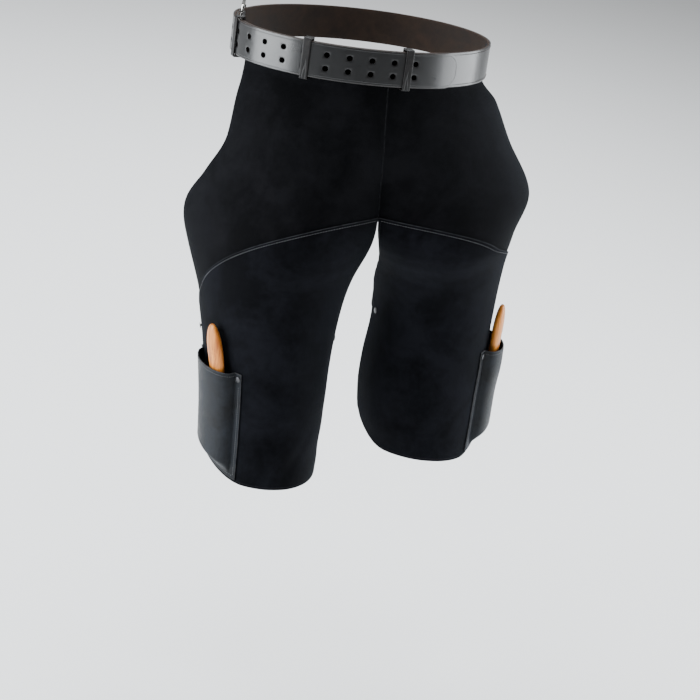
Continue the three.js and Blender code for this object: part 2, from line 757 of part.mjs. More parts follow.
/** The wooden handle: oval sections that swell, lean over and close in a rounded point. */
function handleGeometry() {
  return loft(10, 14, (t) => {
    const swell = 0.74 + 0.26 * smooth(t / 0.55);
    const close = Math.sqrt(Math.max(0, 1 - (Math.max(0, t - 0.62) / 0.38) ** 2.2));
    return {
      centre: [3.5 * smooth((t - 0.35) / 0.65), 0, handleLength * t],
      width: (handleWidth / 2) * swell * Math.max(0.12, close),
      depth: handleHalfDepth(t) * Math.max(0.14, close ** 0.8),
    };
  });
}

/** A closed body through oval sections. */
function loft(steps, sectors, section) {
  const positions = [];
  const indices = [];
  for (let j = 0; j <= steps; j += 1) {
    const { centre, width, depth } = section(j / steps);
    for (let i = 0; i < sectors; i += 1) {
      const turn = (i / sectors) * 2 * Math.PI;
      const [x, y] = [width * Math.cos(turn), depth * Math.sin(turn)];
      positions.push(centre[0] + x, centre[1] + y, centre[2]);
    }
  }
  for (let j = 0; j < steps; j += 1) {
    for (let i = 0; i < sectors; i += 1) {
      const next = (i + 1) % sectors;
      const [a, b] = [j * sectors + i, j * sectors + next];
      const [c, d] = [a + sectors, b + sectors];
      indices.push(a, b, d, a, d, c);
    }
  }
  for (const [level, up] of [[0, false], [steps, true]]) {
    const middle = positions.length / 3;
    positions.push(...section(level / steps).centre);
    for (let i = 0; i < sectors; i += 1) {
      const a = level * sectors + i;
      const b = level * sectors + ((i + 1) % sectors);
      indices.push(...(up ? [a, b, middle] : [b, a, middle]));
    }
  }
  const geometry = new THREE.BufferGeometry();
  geometry.setAttribute("position", new THREE.Float32BufferAttribute(positions, 3));
  geometry.setIndex(indices);
  return facingOut(geometry);
}

/** A strip of steel whose path lies in the Y-Z plane, `width` across in X. */
function stripAcrossX(path, thickness, width) {
  return band(path, thickness, width).rotateX(Math.PI / 2).rotateZ(Math.PI / 2);
}

/** The hoof knife's blade: a tang in the handle, a bowed blade and a tip curled in to the thigh. */
function bladeGeometry(bow) {
  const bend = -bladeLength + curlRadius;
  const path = [];
  for (let i = 0; i <= 8; i += 1) {
    path.push(new THREE.Vector2(bow * (i / 8) ** 1.6, mix(-seatGap, bend, i / 8)));
  }
  const end = path[path.length - 1];
  const lean = Math.atan2((1.6 * bow) / 8, -bend / 8);
  for (let i = 1; i <= 8; i += 1) {
    const turn = Math.PI * 1.25 * (i / 8);
    const point = new THREE.Vector2(-curlRadius * (1 - Math.cos(turn)), -curlRadius * Math.sin(turn));
    path.push(point.rotateAround(new THREE.Vector2(), lean).add(end));
  }
  const tang = [new THREE.Vector2(0, tangLength), new THREE.Vector2(0, -3)];
  return joined([
    stripAcrossX(path, bladeThickness, bladeWidth),
    stripAcrossX(tang, bladeThickness, tangWidth),
  ]);
}

function buildKnife(name, side) {
  const frame = knifeFrame(side);
  const slotDepth = tangLength + 1 + seatGap;
  const slot = block(tangWidth + 2 * seatGap, bladeThickness + 2 * seatGap, slotDepth);
  slot.translate(0, 0, slotDepth / 2 - 1);
  const holes = pinHeights.map((z) =>
    bar(pinRadius + seatGap, handleThickness + 2, "y", [0, 0, z], 12),
  );
  piece(`knife_handle_${name}`, cut(handleGeometry(), [slot, ...holes]), wood, frame);
  piece(`knife_blade_${name}`, cut(bladeGeometry(side.bladeBow), holes), bladeSteel, frame);
  ["lower", "upper"].forEach((place, i) => {
    const z = pinHeights[i];
    const length = 2 * handleHalfDepth(z / handleLength) - 0.4;
    piece(`knife_pin_${place}_${name}`, bar(pinRadius, length, "y", [0, 0, z]), brass, frame);
  });
}

for (const [name, side] of Object.entries(sides)) buildKnife(name, side);

// ---- Leg straps ---------------------------------------------------------------------------------
const strapLine = -4.2 * backGap - strapThickness / 2;
const loopRadius = 2 + seatGap + strapThickness / 2;
const buckleInside = strapWidth + 1.6;
const buckleWall = 2.6;
const buckleThickness = 11;

/** A level point behind the thigh, `off` outside the inner face of the leather. */
function thighPoint(side, degrees, off) {
  const point = formPoint(side, radians(degrees), strapHeight(side), off);
  return new THREE.Vector2(point.x, point.y);
}

/** A strap from the leather's edge to a buckle bar, round it, and back over itself. */
function strapPathBehind(side, from, to) {
  const turnBack = Math.sign(from - to) * 14;
  const steps = 14;
  const path = [];
  for (let i = 0; i <= steps; i += 1) {
    path.push(thighPoint(side, mix(from, to, i / steps), strapLine));
  }
  const middle = thighPoint(side, to, strapLine + loopRadius);
  const start = path[path.length - 1].clone().sub(middle);
  const spin = side.sign * Math.sign(from - to);
  for (let i = 1; i <= 8; i += 1) {
    path.push(start.clone().rotateAround(new THREE.Vector2(), spin * Math.PI * (i / 8)).add(middle));
  }
  for (const share of [0.25, 0.55, 1]) {
    const off = mix(2 * loopRadius, strapThickness + layerGap, smooth(share / 0.6));
    path.push(thighPoint(side, to + turnBack * share, strapLine + off));
  }
  return path;
}

/** A frame at the back of the thigh: X along the strap from the outer bar to the inner one. */
function strapBuckleFrame(side) {
  const outerBar = thighPoint(side, 180 - buckleHalfAngle, strapLine + loopRadius);
  const innerBar = thighPoint(side, 180 + buckleHalfAngle, strapLine + loopRadius);
  const run = innerBar.clone().sub(outerBar);
  const xAxis = new THREE.Vector3(run.x, run.y, 0).normalize();
  const zAxis = new THREE.Vector3(0, 0, 1);
  const yAxis = new THREE.Vector3().crossVectors(zAxis, xAxis);
  const frame = new THREE.Matrix4()
    .makeBasis(xAxis, yAxis, zAxis)
    .setPosition(outerBar.x, outerBar.y, strapHeight(side));
  return { frame, length: run.length() };
}

/** A bar between two arms, which a strap goes round; the arms reach to `to`. */
function strapBar(x, to) {
  const arm = (row) => {
    const length = Math.abs(to - x) + 2;
    const middle = (x + to) / 2 + (Math.sign(x - to) * 2) / 2;
    return block(length, 5, buckleWall, [middle, 0, row * (buckleInside + buckleWall) * 0.5]);
  };
  return [bar(2, buckleInside + 1, "z", [x, 0, 0], 14), arm(1), arm(-1)];
}

function buildStrapBuckle(name, side) {
  const { frame, length } = strapBuckleFrame(side);
  const width = buckleInside + 2 * buckleWall;
  const bodyStart = 6;
  const bodyEnd = length - 17;
  const bodyLength = bodyEnd - bodyStart;
  const bodyMiddle = (bodyStart + bodyEnd) / 2;
  const cavity = block(bodyLength, buckleThickness - 4, width - 5, [bodyMiddle + 4, 0, 0]);
  const window = block(13, 5, width + 2, [bodyStart + 14, 0, 0]);
  const socket = cut(
    joined([
      block(bodyLength, buckleThickness, width, [bodyMiddle, 0, 0]),
      ...strapBar(0, bodyStart + 1),
    ]),
    [cavity, window],
  );
  piece(`strap_buckle_socket_${name}`, socket, blackPlastic, frame);

  const baseStart = bodyEnd + seatGap;
  const baseEnd = length - 6;
  const baseMiddle = (baseStart + baseEnd) / 2;
  const tipAt = bodyStart + 9;
  const fingers = [-1, 1].flatMap((row) => [
    block(baseStart - tipAt + 1, 4, 3, [(baseStart + tipAt + 1) / 2, 0, row * 9.5]),
    block(7, 4, 6, [tipAt + 5, 0, row * 11.4]),
  ]);
  const plug = joined([
    block(baseEnd - baseStart, buckleThickness - 1, width, [baseMiddle, 0, 0]),
    block(baseStart - tipAt + 1, 4, 6, [(baseStart + tipAt + 1) / 2, 0, 0]),
    ...fingers,
    ...strapBar(length, baseEnd - 1),
  ]);
  piece(`strap_buckle_plug_${name}`, plug, blackPlastic, frame);
}

function buildLegStrap(name, side) {
  const outerEdge = along(side.outerEdge, strapHeight(side));
  const ends = {
    outer: [outerEdge - strapOverlap, 180 - buckleHalfAngle],
    inner: [360 + innerEdge + strapOverlap, 180 + buckleHalfAngle],
  };
  for (const [end, [from, to]] of Object.entries(ends)) {
    const angle = strapRivetAngle(side, end);
    const frame = leatherFrame(side, angle, strapHeight(side));
    const strap = band(strapPathBehind(side, from, to), strapThickness, strapWidth);
    strap.translate(0, 0, strapHeight(side));
    piece(`leg_strap_${end}_${name}`, cut(strap, [rivetHole(frame)]), webbing);
    const outside = strapRivetOutside(side, angle) + 3.5 * layerGap;
    const inside = strapLine - strapThickness / 2 - 1.4 * backGap;
    const rivet = latheAlongY([
      [rivetHeadRadius, inside - rivetHead],
      [rivetHeadRadius, inside],
      [rivetShank, inside],
      [rivetShank, outside],
      [rivetHeadRadius, outside],
      [rivetHeadRadius * 0.7, outside + rivetHead],
    ]);
    piece(`strap_rivet_${end}_${name}`, rivet, darkSteel, frame);
  }
  buildStrapBuckle(name, side);
}

/** The outer face of the leather that a strap rivet goes through: the patch where it reaches. */
function strapRivetOutside(side, angle) {
  const z = strapHeight(side);
  const inner = innerAngle(side, z);
  const u = (angle - inner) / (radians(along(side.outerEdge, z)) - inner);
  return archHeight(side, u) > z + strapWidth / 2 ? patchOffset + hidePatch : hidePanel;
}

for (const [name, side] of Object.entries(sides)) buildLegStrap(name, side);

export default apron;
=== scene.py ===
"""Split-leg leather work apron: waist belt, two leg panels, and a hoof knife in a pocket on each thigh.

Sizes are in millimetres until a mesh is made, and Blender's objects are in metres. The origin is the
middle of the belt, the front faces -Y, and the wearer's right is -X.
"""

from __future__ import annotations

import logging
import math
import sys
from bisect import bisect_left
from dataclasses import dataclass, field
from enum import Enum
from typing import Callable, Sequence

import bmesh
import bpy
from mathutils import Matrix, Vector


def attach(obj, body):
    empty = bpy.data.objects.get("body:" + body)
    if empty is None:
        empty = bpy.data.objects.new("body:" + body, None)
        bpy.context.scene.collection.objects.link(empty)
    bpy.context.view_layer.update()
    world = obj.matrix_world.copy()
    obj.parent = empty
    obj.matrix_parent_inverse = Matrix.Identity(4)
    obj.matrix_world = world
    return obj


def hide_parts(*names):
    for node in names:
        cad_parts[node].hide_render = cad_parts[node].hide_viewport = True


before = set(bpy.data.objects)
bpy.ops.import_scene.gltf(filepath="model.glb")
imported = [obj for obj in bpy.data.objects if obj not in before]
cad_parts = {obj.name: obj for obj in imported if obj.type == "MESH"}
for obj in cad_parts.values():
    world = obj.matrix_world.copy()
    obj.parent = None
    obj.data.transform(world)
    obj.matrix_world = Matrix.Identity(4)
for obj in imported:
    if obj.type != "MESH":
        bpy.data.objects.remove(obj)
LOG = logging.getLogger("apron")
MM = 0.001
Place = Callable[[float, float], Vector]
Path = Callable[[float], tuple[Vector, Vector]]


# ---- Numbers ------------------------------------------------------------------------------------


def mix(a: float, b: float, t: float) -> float:
    """Returns the value at a share t of the way from a to b."""
    return a + (b - a) * t


def clamp(t: float) -> float:
    """Returns t kept between 0 and 1."""
    return min(1.0, max(0.0, t))


def smooth(t: float) -> float:
    """Returns an eased share, level at 0 and at 1."""
    return clamp(t) ** 2 * (3 - 2 * clamp(t))


def bump(x: float, centre: float, width: float) -> float:
    """Returns a bell that is 1 at its centre and fades over its width."""
    return math.exp(-(((x - centre) / width) ** 2))


# ---- The worn form ------------------------------------------------------------------------------


class Side(Enum):
    """The wearer's two sides."""

    RIGHT = "right"
    LEFT = "left"


LEVELS = (-28, -60, -130, -190, -250, -310, -390, -470, -540, -600, -650)
WAIST_HALF_WIDTH = 177.0
WAIST_HALF_DEPTH = 143.0
CROTCH_DEPTH = 236.0
PANEL_TOP = 21.0
HIDE_PANEL = 2.2
HIDE_PATCH = 1.8
HIDE_POCKET = 1.8
LAYER_GAP = 0.5
SEAT_GAP = 0.3
PATCH_OFF = HIDE_PANEL + LAYER_GAP
POCKET_OFF = PATCH_OFF + HIDE_PATCH + LAYER_GAP


def along(values: Sequence[float], z: float) -> float:
    """Reads one value for each level as a smooth curve with no overshoot.

    Args:
        values: one value for each of LEVELS.
        z: the height.

    Returns:
        The value at that height.
    """
    last = len(LEVELS) - 1
    i = 0
    while i < last - 1 and z < LEVELS[i + 1]:
        i += 1

    def step(k: int) -> float:
        return (values[k + 1] - values[k]) / (LEVELS[k + 1] - LEVELS[k])

    def slope(k: int) -> float:
        if k == 0:
            return 0.0
        if k == last:
            return step(last - 1)
        before, after = step(k - 1), step(k)
        return 0.0 if before * after <= 0 else 2 * before * after / (before + after)

    width = LEVELS[i + 1] - LEVELS[i]
    t = clamp((z - LEVELS[i]) / width)
    hold = values[i] * (1 + 2 * t) * (1 - t) ** 2 + values[i + 1] * t * t * (3 - 2 * t)
    return hold + width * (slope(i) * t * (1 - t) ** 2 - slope(i + 1) * t * t * (1 - t))


@dataclass(frozen=True)
class Leg:
    """One side of the worn form, as an ellipse at each level, and the leather laid on it."""

    side: Side
    sign: float
    centre: tuple[float, ...]
    half_width: tuple[float, ...]
    forward: tuple[float, ...]
    outer_edge: tuple[float, ...]
    hem: float
    hem_rise: float
    corner_rise: float
    corner_share: float
    patch_drop: float
    part_by: float
    part_over: float
    pocket_top: float
    knife_angle: float
    knife_tilt: float
    knife_lean: float
    half_depth: tuple[float, ...] = (WAIST_HALF_DEPTH, 147, 148, 143, 136, 128, 118, 110, 106, 104, 103)
    hip_flare: tuple[float, ...] = (0, 4, 10, 18, 18, 7, 0, 0, 0, 0, 0)
    seam_forward: tuple[float, ...] = (WAIST_HALF_DEPTH, 147, 151, 146, 128, 105, 80, 80, 80, 80, 80)
    seam_drift: float = 16.0
    seam_fade: float = 125.0
    inner_edge: float = -86.0
    arch_top: float = 212.0
    arch_curve: float = 2.3
    pocket_front: float = 37.0
    pocket_rear: float = 99.0
    span: float = 34.0

    def seam_at(self, z: float) -> float:
        """Returns how far the centre seam lies from the middle plane, to the wearer's left."""
        return self.seam_drift * min(1.0, z / -CROTCH_DEPTH) ** 2

    def inner_angle(self, z: float) -> float:
        """Returns the angle of the panel's inner edge at one height, in radians."""
        part = self.part_by * smooth((-CROTCH_DEPTH - z) / self.part_over)
        reach = self.sign * (self.seam_at(z) + part) + SEAT_GAP - along(self.centre, z)
        least = math.sin(math.radians(self.inner_edge))
        return math.asin(min(1.0, max(least, reach / along(self.half_width, z))))

    def angle(self, u: float, z: float) -> float:
        """Returns the angle at a share u of the panel's width, at one height."""
        return mix(self.inner_angle(z), math.radians(along(self.outer_edge, z)), u)

    def share(self, angle: float, z: float) -> float:
        """Returns the share of the panel's width at an angle, the inverse of angle()."""
        inner = self.inner_angle(z)
        return (angle - inner) / (math.radians(along(self.outer_edge, z)) - inner)

    def point(self, angle: float, z: float, off: float) -> Vector:
        """Returns the point of the form at an angle and a height, `off` outside the hide's inner face."""
        centre, forward = along(self.centre, z), along(self.forward, z)
        flare = clamp((angle - math.radians(50)) / math.radians(104 - 50)) ** 2
        across = along(self.half_width, z) + along(self.hip_flare, z) * flare
        deep = along(self.half_depth, z)
        inner = self.inner_angle(z)
        outer = math.radians(along(self.outer_edge, z))
        near_seam = (1 - clamp((angle - inner) / (outer - inner))) ** 2
        fade = 1 - smooth((-CROTCH_DEPTH - z) / self.seam_fade)
        bridge = (along(self.seam_forward, z) - forward - deep * math.cos(inner)) * fade * near_seam
        out = Vector((math.sin(angle) / across * (1 - fade * near_seam**2), -math.cos(angle) / deep))
        out.normalize()
        return Vector(
            (
                self.sign * (centre + across * math.sin(angle) + out.x * off),
                -forward - deep * math.cos(angle) - bridge + out.y * off,
                z,
            )
        )

    def hem_height(self, u: float) -> float:
        """Returns the height of the leather's lower edge at a share of its width."""
        corner = 1 - clamp(u / self.corner_share)
        inner_rise = self.corner_rise * (1 - math.sqrt(1 - corner**2))
        return -self.hem + self.hem_rise * smooth((u - 0.6) / 0.4) + inner_rise

    def arch_height(self, u: float) -> float:
        """Returns the height of the arched seam at the top of the leg patch."""
        return -self.arch_top - self.patch_drop * clamp(u) ** self.arch_curve

    def relief(self, u: float, z: float) -> float:
        """Returns how far creases lift the hide, and the handle's sliding presses it in."""
        away = smooth((0.62 - u) / 0.12) * smooth((PANEL_TOP - 46 - z) / 60)
        drape = 0.9 * math.sin(0.045 * z + 9 * u) * bump(z, -190, 90)
        pull = 1.3 * bump(u, 0.16 + 0.0006 * (z + 250), 0.07) * bump(z, -300, 60)
        crease = -1.1 * bump(u, 0.44 - 0.002 * (z + self.hem), 0.035) * bump(z, -self.hem + 40, 45)
        ripple = 0.5 * math.sin(0.11 * z + 14 * u * u) * bump(z, -self.hem, 110)
        pressed = -1.3 * bump(u, 0.71, 0.11) * bump(z, -285, 62)
        return away * (drape + pull + crease + ripple) + pressed

    def laid(self, u: float, z: float, off: float) -> Vector:
        """Returns a point on a piece of leather that spans the form's hollows, creases included."""
        reach = self.span * smooth((LEVELS[0] - 20 - z) / 70) * smooth((0.66 - u) / 0.34)
        off += self.relief(u, z)
        if reach < 1:
            return self.point(self.angle(u, z), z, off)
        total = Vector((0, 0, 0))
        for step, share in ((-1, 0.13), (-0.5, 0.22), (0, 0.3), (0.5, 0.22), (1, 0.13)):
            level = z + step * reach
            total += self.point(self.angle(u, level), level, off) * share
        total.z = z
        return total

    def frame(self, angle: float, z: float) -> Matrix:
        """Returns a frame on the leather, with Y square to it and Z up it, in millimetres."""
        turn, rise = math.radians(3), 6
        level = self.point(angle + turn, z, 0) - self.point(angle - turn, z, 0)
        up = (self.point(angle, z + rise, 0) - self.point(angle, z - rise, 0)).normalized()
        out = level.cross(up).normalized() * self.sign
        return basis(out.cross(up), out, up, self.point(angle, z, 0))


def basis(x: Vector, y: Vector, z: Vector, origin: Vector) -> Matrix:
    """Returns the matrix with those axes and origin."""
    matrix = Matrix((x, y, z)).transposed().to_4x4()
    matrix.translation = origin
    return matrix


RIGHT_LEG = Leg(
    side=Side.RIGHT,
    sign=-1,
    centre=(0, 14, 41, 68, 88, 98, 95, 90, 87, 86, 85),
    half_width=(WAIST_HALF_WIDTH, 172, 152, 134, 126, 114, 98, 88, 85, 82, 81),
    forward=(0, 2, 8, 12, 15, 18, 20, 22, 24, 25, 25),
    outer_edge=(78, 74, 75, 86, 101, 104, 104, 104, 104, 104, 104),
    hem=637,
    hem_rise=30,
    corner_rise=20,
    corner_share=0.09,
    patch_drop=194,
    part_by=-8,
    part_over=110,
    pocket_top=465,
    knife_angle=57,
    knife_tilt=10,
    knife_lean=3,
)
LEFT_LEG = Leg(
    side=Side.LEFT,
    sign=1,
    centre=(0, 21, 56, 103, 137, 149, 157, 157, 160, 167, 169),
    half_width=(WAIST_HALF_WIDTH, 181, 181, 166, 116, 97, 87, 94, 93, 83, 80),
    forward=(0, 2, 8, 12, 12, 10, 8, 4, 0, -4, -5),
    outer_edge=(78, 78, 84, 95, 104, 104, 104, 104, 104, 104, 104),
    hem=600,
    hem_rise=50,
    corner_rise=62,
    corner_share=0.2,
    patch_drop=113,
    part_by=34,
    part_over=60,
    pocket_top=424,
    knife_angle=55,
    knife_tilt=2.6,
    knife_lean=0,
)


class Waist:
    """The oval that the belt follows."""

    steps: int = 1440

    def __init__(self) -> None:
        """Measures the oval once, so that places can be given as distances along it."""
        self.table = [0.0]
        for i in range(self.steps):
            turn = (i + 0.5) / self.steps * math.tau
            stretch = math.hypot(WAIST_HALF_WIDTH * math.cos(turn), WAIST_HALF_DEPTH * math.sin(turn))
            self.table.append(self.table[-1] + stretch * math.tau / self.steps)
        self.length = self.table[-1]

    def point(self, distance: float, off: float) -> tuple[Vector, Vector]:
        """Finds a place on the belt.

        Args:
            distance: how far round from the front centre, to the wearer's left.
            off: how far outside the oval.

        Returns:
            The point and the outward direction there, both level.
        """
        wrapped = distance % self.length
        i = max(1, bisect_left(self.table, wrapped))
        share = (wrapped - self.table[i - 1]) / (self.table[i] - self.table[i - 1])
        turn = (i - 1 + share) / self.steps * math.tau
        out = Vector((math.sin(turn) / WAIST_HALF_WIDTH, -math.cos(turn) / WAIST_HALF_DEPTH, 0))
        out.normalize()
        on = Vector((WAIST_HALF_WIDTH * math.sin(turn), -WAIST_HALF_DEPTH * math.cos(turn), 0))
        return on + out * off, out

    def frame(self, distance: float, off: float) -> Matrix:
        """Returns a frame on the belt: X to the wearer's right, Y out, Z up."""
        point, out = self.point(distance, off)
        up = Vector((0, 0, 1))
        return basis(out.cross(up), out, up, point)


# ---- Making meshes ------------------------------------------------------------------------------


class Workshop:
    """Turns bmeshes into pieces that ride on the frame."""

    def __init__(self) -> None:
        """Starts an empty list of the pieces made."""
        self.made: list[str] = []

    def finish(
        self,
        bm: bmesh.types.BMesh,
        name: str,
        material: bpy.types.Material,
        body: str = "apron",
        nodes: Sequence[str] = (),
    ) -> bpy.types.Object:
        """Makes a piece from a bmesh that is in millimetres.

        Args:
            bm: the mesh, which this frees.
            name: the piece's name.
            material: its finish.
            body: the CAD body it moves with.
            nodes: the CAD nodes it stands for.

        Returns:
            The new object.
        """
        bmesh.ops.scale(bm, vec=(MM, MM, MM), verts=bm.verts[:])
        for face in bm.faces:
            face.smooth = True
        mesh = bpy.data.meshes.new(name)
        bm.to_mesh(mesh)
        bm.free()
        piece = bpy.data.objects.new(name, mesh)
        bpy.context.scene.collection.objects.link(piece)
        mesh.materials.append(material)
        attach(piece, body)
        if nodes:
            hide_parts(*nodes)
        self.made.append(name)
        LOG.info("%s: %d faces, rides on %s", name, len(mesh.polygons), body)
        return piece


def grid(
    columns: int, rows: int, place: Place, size: tuple[float, float], narrow: float = 0.0
) -> bmesh.types.BMesh:
    """Makes one face of a sheet.

    Args:
        columns: faces across.
        rows: faces down.
        place: the point at a share (u, v) of the sheet's width and height.
        size: the flat width and height, which the UV map is in, in metres.
        narrow: how far the line next to the outline lies from it, in metres; 0 keeps even faces.

    Returns:
        The mesh, in millimetres, with an `edge` attribute that is 1 on its outline, and a `rim`
        attribute that is the distance from the outline.
    """
    bm = bmesh.new()
    bmesh.ops.create_grid(bm, x_segments=columns, y_segments=rows, size=0.5)
    uv = bm.loops.layers.uv.new("cut")
    edge = bm.verts.layers.float.new("edge")
    rim = bm.verts.layers.float.new("rim")

    def packed(share: float, count: int, length: float) -> float:
        line = round(share * count)
        if narrow and line in (1, count - 1):
            return narrow / length if line == 1 else 1 - narrow / length
        return line / count

    shares = {
        vert: (packed(vert.co.x + 0.5, columns, size[0]), packed(0.5 - vert.co.y, rows, size[1]))
        for vert in bm.verts
    }
    for face in bm.faces:
        for loop in face.loops:
            u, v = shares[loop.vert]
            loop[uv].uv = (u * size[0], v * size[1])
    for vert, (u, v) in shares.items():
        near = min(u * size[0], (1 - u) * size[0], v * size[1], (1 - v) * size[1])
        vert[edge] = 1 - smooth(near / (narrow or 0.006))
        vert[rim] = near / MM
        vert.co = place(u, v)
    return bm


def face_out(bm: bmesh.types.BMesh, inside: Vector) -> None:
    """Turns an open sheet's faces away from a point inside the form."""
    bm.normal_update()
    bm.faces.ensure_lookup_table()
    face = bm.faces[len(bm.faces) // 2]
    if (face.calc_center_median() - inside).dot(face.normal) < 0:
        bmesh.ops.reverse_faces(bm, faces=bm.faces[:])


def thicken(bm: bmesh.types.BMesh, thickness: float, rounding: float, segments: int = 2) -> None:
    """Gives an open sheet its thickness, inwards, and rounds its cut edges.

    Args:
        bm: the sheet, facing out.
        thickness: the wall.
        rounding: the radius of the cut edges.
        segments: the steps in each rounded edge.
    """
    bmesh.ops.solidify(bm, geom=bm.faces[:], thickness=thickness)
    bm.normal_update()
    rim = [e for e in bm.edges if len(e.link_faces) == 2 and e.calc_face_angle() > 1.0]
    bmesh.ops.bevel(
        bm,
        geom=rim,
        offset=rounding,
        offset_type="OFFSET",
        segments=segments,
        profile=0.5,
        affect="EDGES",
        material=-1,
        clamp_overlap=True,
    )


def lay_stitches(
    bm: bmesh.types.BMesh, path: Path, pitch: float, length: float, width: float, sink: float = 0.2
) -> None:
    """Lays a row of stitches along a path.

    Args:
        bm: the mesh that takes them.
        path: the point and outward direction at a share of the path.
        pitch: the distance from one stitch to the next.
        length: the length of a stitch.
        width: the thread's width.
        sink: how deep each stitch sits, as a share of its width.
    """
    one = bmesh.new()
    bmesh.ops.create_uvsphere(one, u_segments=6, v_segments=4, radius=0.5)
    stitch = bpy.data.meshes.new("stitch")
    one.to_mesh(stitch)
    one.free()
    samples = [path(i / 400) for i in range(401)]
    run = [0.0]
    for (a, _), (b, _) in zip(samples, samples[1:]):
        run.append(run[-1] + (b - a).length)
    for k in range(int(run[-1] / pitch)):
        want = (k + 0.5) * pitch
        i = max(1, bisect_left(run, want))
        share = (want - run[i - 1]) / (run[i] - run[i - 1])
        (a, out), (b, _) = samples[i - 1], samples[i]
        ahead = (b - a).normalized()
        out = (out - ahead * out.dot(ahead)).normalized()
        middle = a.lerp(b, share) + out * width * (0.5 - sink)
        turned = basis(ahead, ahead.cross(out), out, middle)
        laid = stitch.copy()
        laid.transform(turned @ Matrix.Diagonal((length, width, width, 1)))
        bm.from_mesh(laid)
        bpy.data.meshes.remove(laid)
    bpy.data.meshes.remove(stitch)


def spun(profile: Sequence[tuple[float, float]], frame: Matrix, steps: int = 28) -> bmesh.types.BMesh:
    """Spins a profile of (radius, height) corners about a frame's Y axis."""
    bm = bmesh.new()
    verts = [bm.verts.new((r, y, 0)) for r, y in profile]
    edges = [bm.edges.new(pair) for pair in zip(verts, verts[1:])]
    bmesh.ops.spin(
        bm,
        geom=[*verts, *edges],
        cent=(0, 0, 0),
        axis=(0, 1, 0),
        angle=math.tau,
        steps=steps,
        use_merge=True,
    )
    bmesh.ops.remove_doubles(bm, verts=bm.verts[:], dist=1e-4)
    bmesh.ops.recalc_face_normals(bm, faces=bm.faces[:])
    bmesh.ops.transform(bm, matrix=frame, verts=bm.verts[:])
    return bm


# ---- Finishes -----------------------------------------------------------------------------------


class Nodes:
    """A small helper that adds and wires shader nodes."""

    def __init__(self, tree: bpy.types.NodeTree) -> None:
        """Works on one node tree."""
        self.tree = tree

    def add(self, kind: str, **settings: object) -> bpy.types.Node:
        """Adds a node; settings are its properties, or its inputs by name with underscores."""
        node = self.tree.nodes.new(kind)
        for key, value in settings.items():
            if hasattr(node, key):
                setattr(node, key, value)
            else:
                self.feed(node.inputs[key.replace("_", " ")], value)
        return node

    def feed(self, socket: bpy.types.NodeSocket, value: object) -> None:
        """Gives a socket a value, or wires another socket to it."""
        if isinstance(value, bpy.types.NodeSocket):
            self.tree.links.new(value, socket)
        else:
            socket.default_value = value

    def math(self, operation: str, *values: object) -> bpy.types.NodeSocket:
        """Adds a Math node and returns its result."""
        node = self.tree.nodes.new("ShaderNodeMath")
        node.operation = operation
        for socket, value in zip(node.inputs, values):
            self.feed(socket, value)
        return node.outputs[0]

    def ramp(self, value: bpy.types.NodeSocket, low: float, high: float) -> bpy.types.NodeSocket:
        """Stretches the values from low to high over 0 to 1."""
        node = self.add("ShaderNodeMapRange", clamp=True)
        self.feed(node.inputs["Value"], value)
        node.inputs["From Min"].default_value = low
        node.inputs["From Max"].default_value = high
        return node.outputs["Result"]

    def blend(self, share: object, first: object, second: object) -> bpy.types.NodeSocket:
        """Mixes two colours by a share."""
        node = self.tree.nodes.new("ShaderNodeMix")
        node.data_type = "RGBA"
        for socket, value in zip((node.inputs[0], node.inputs[6], node.inputs[7]), (share, first, second)):
            self.feed(socket, value)
        return node.outputs[2]


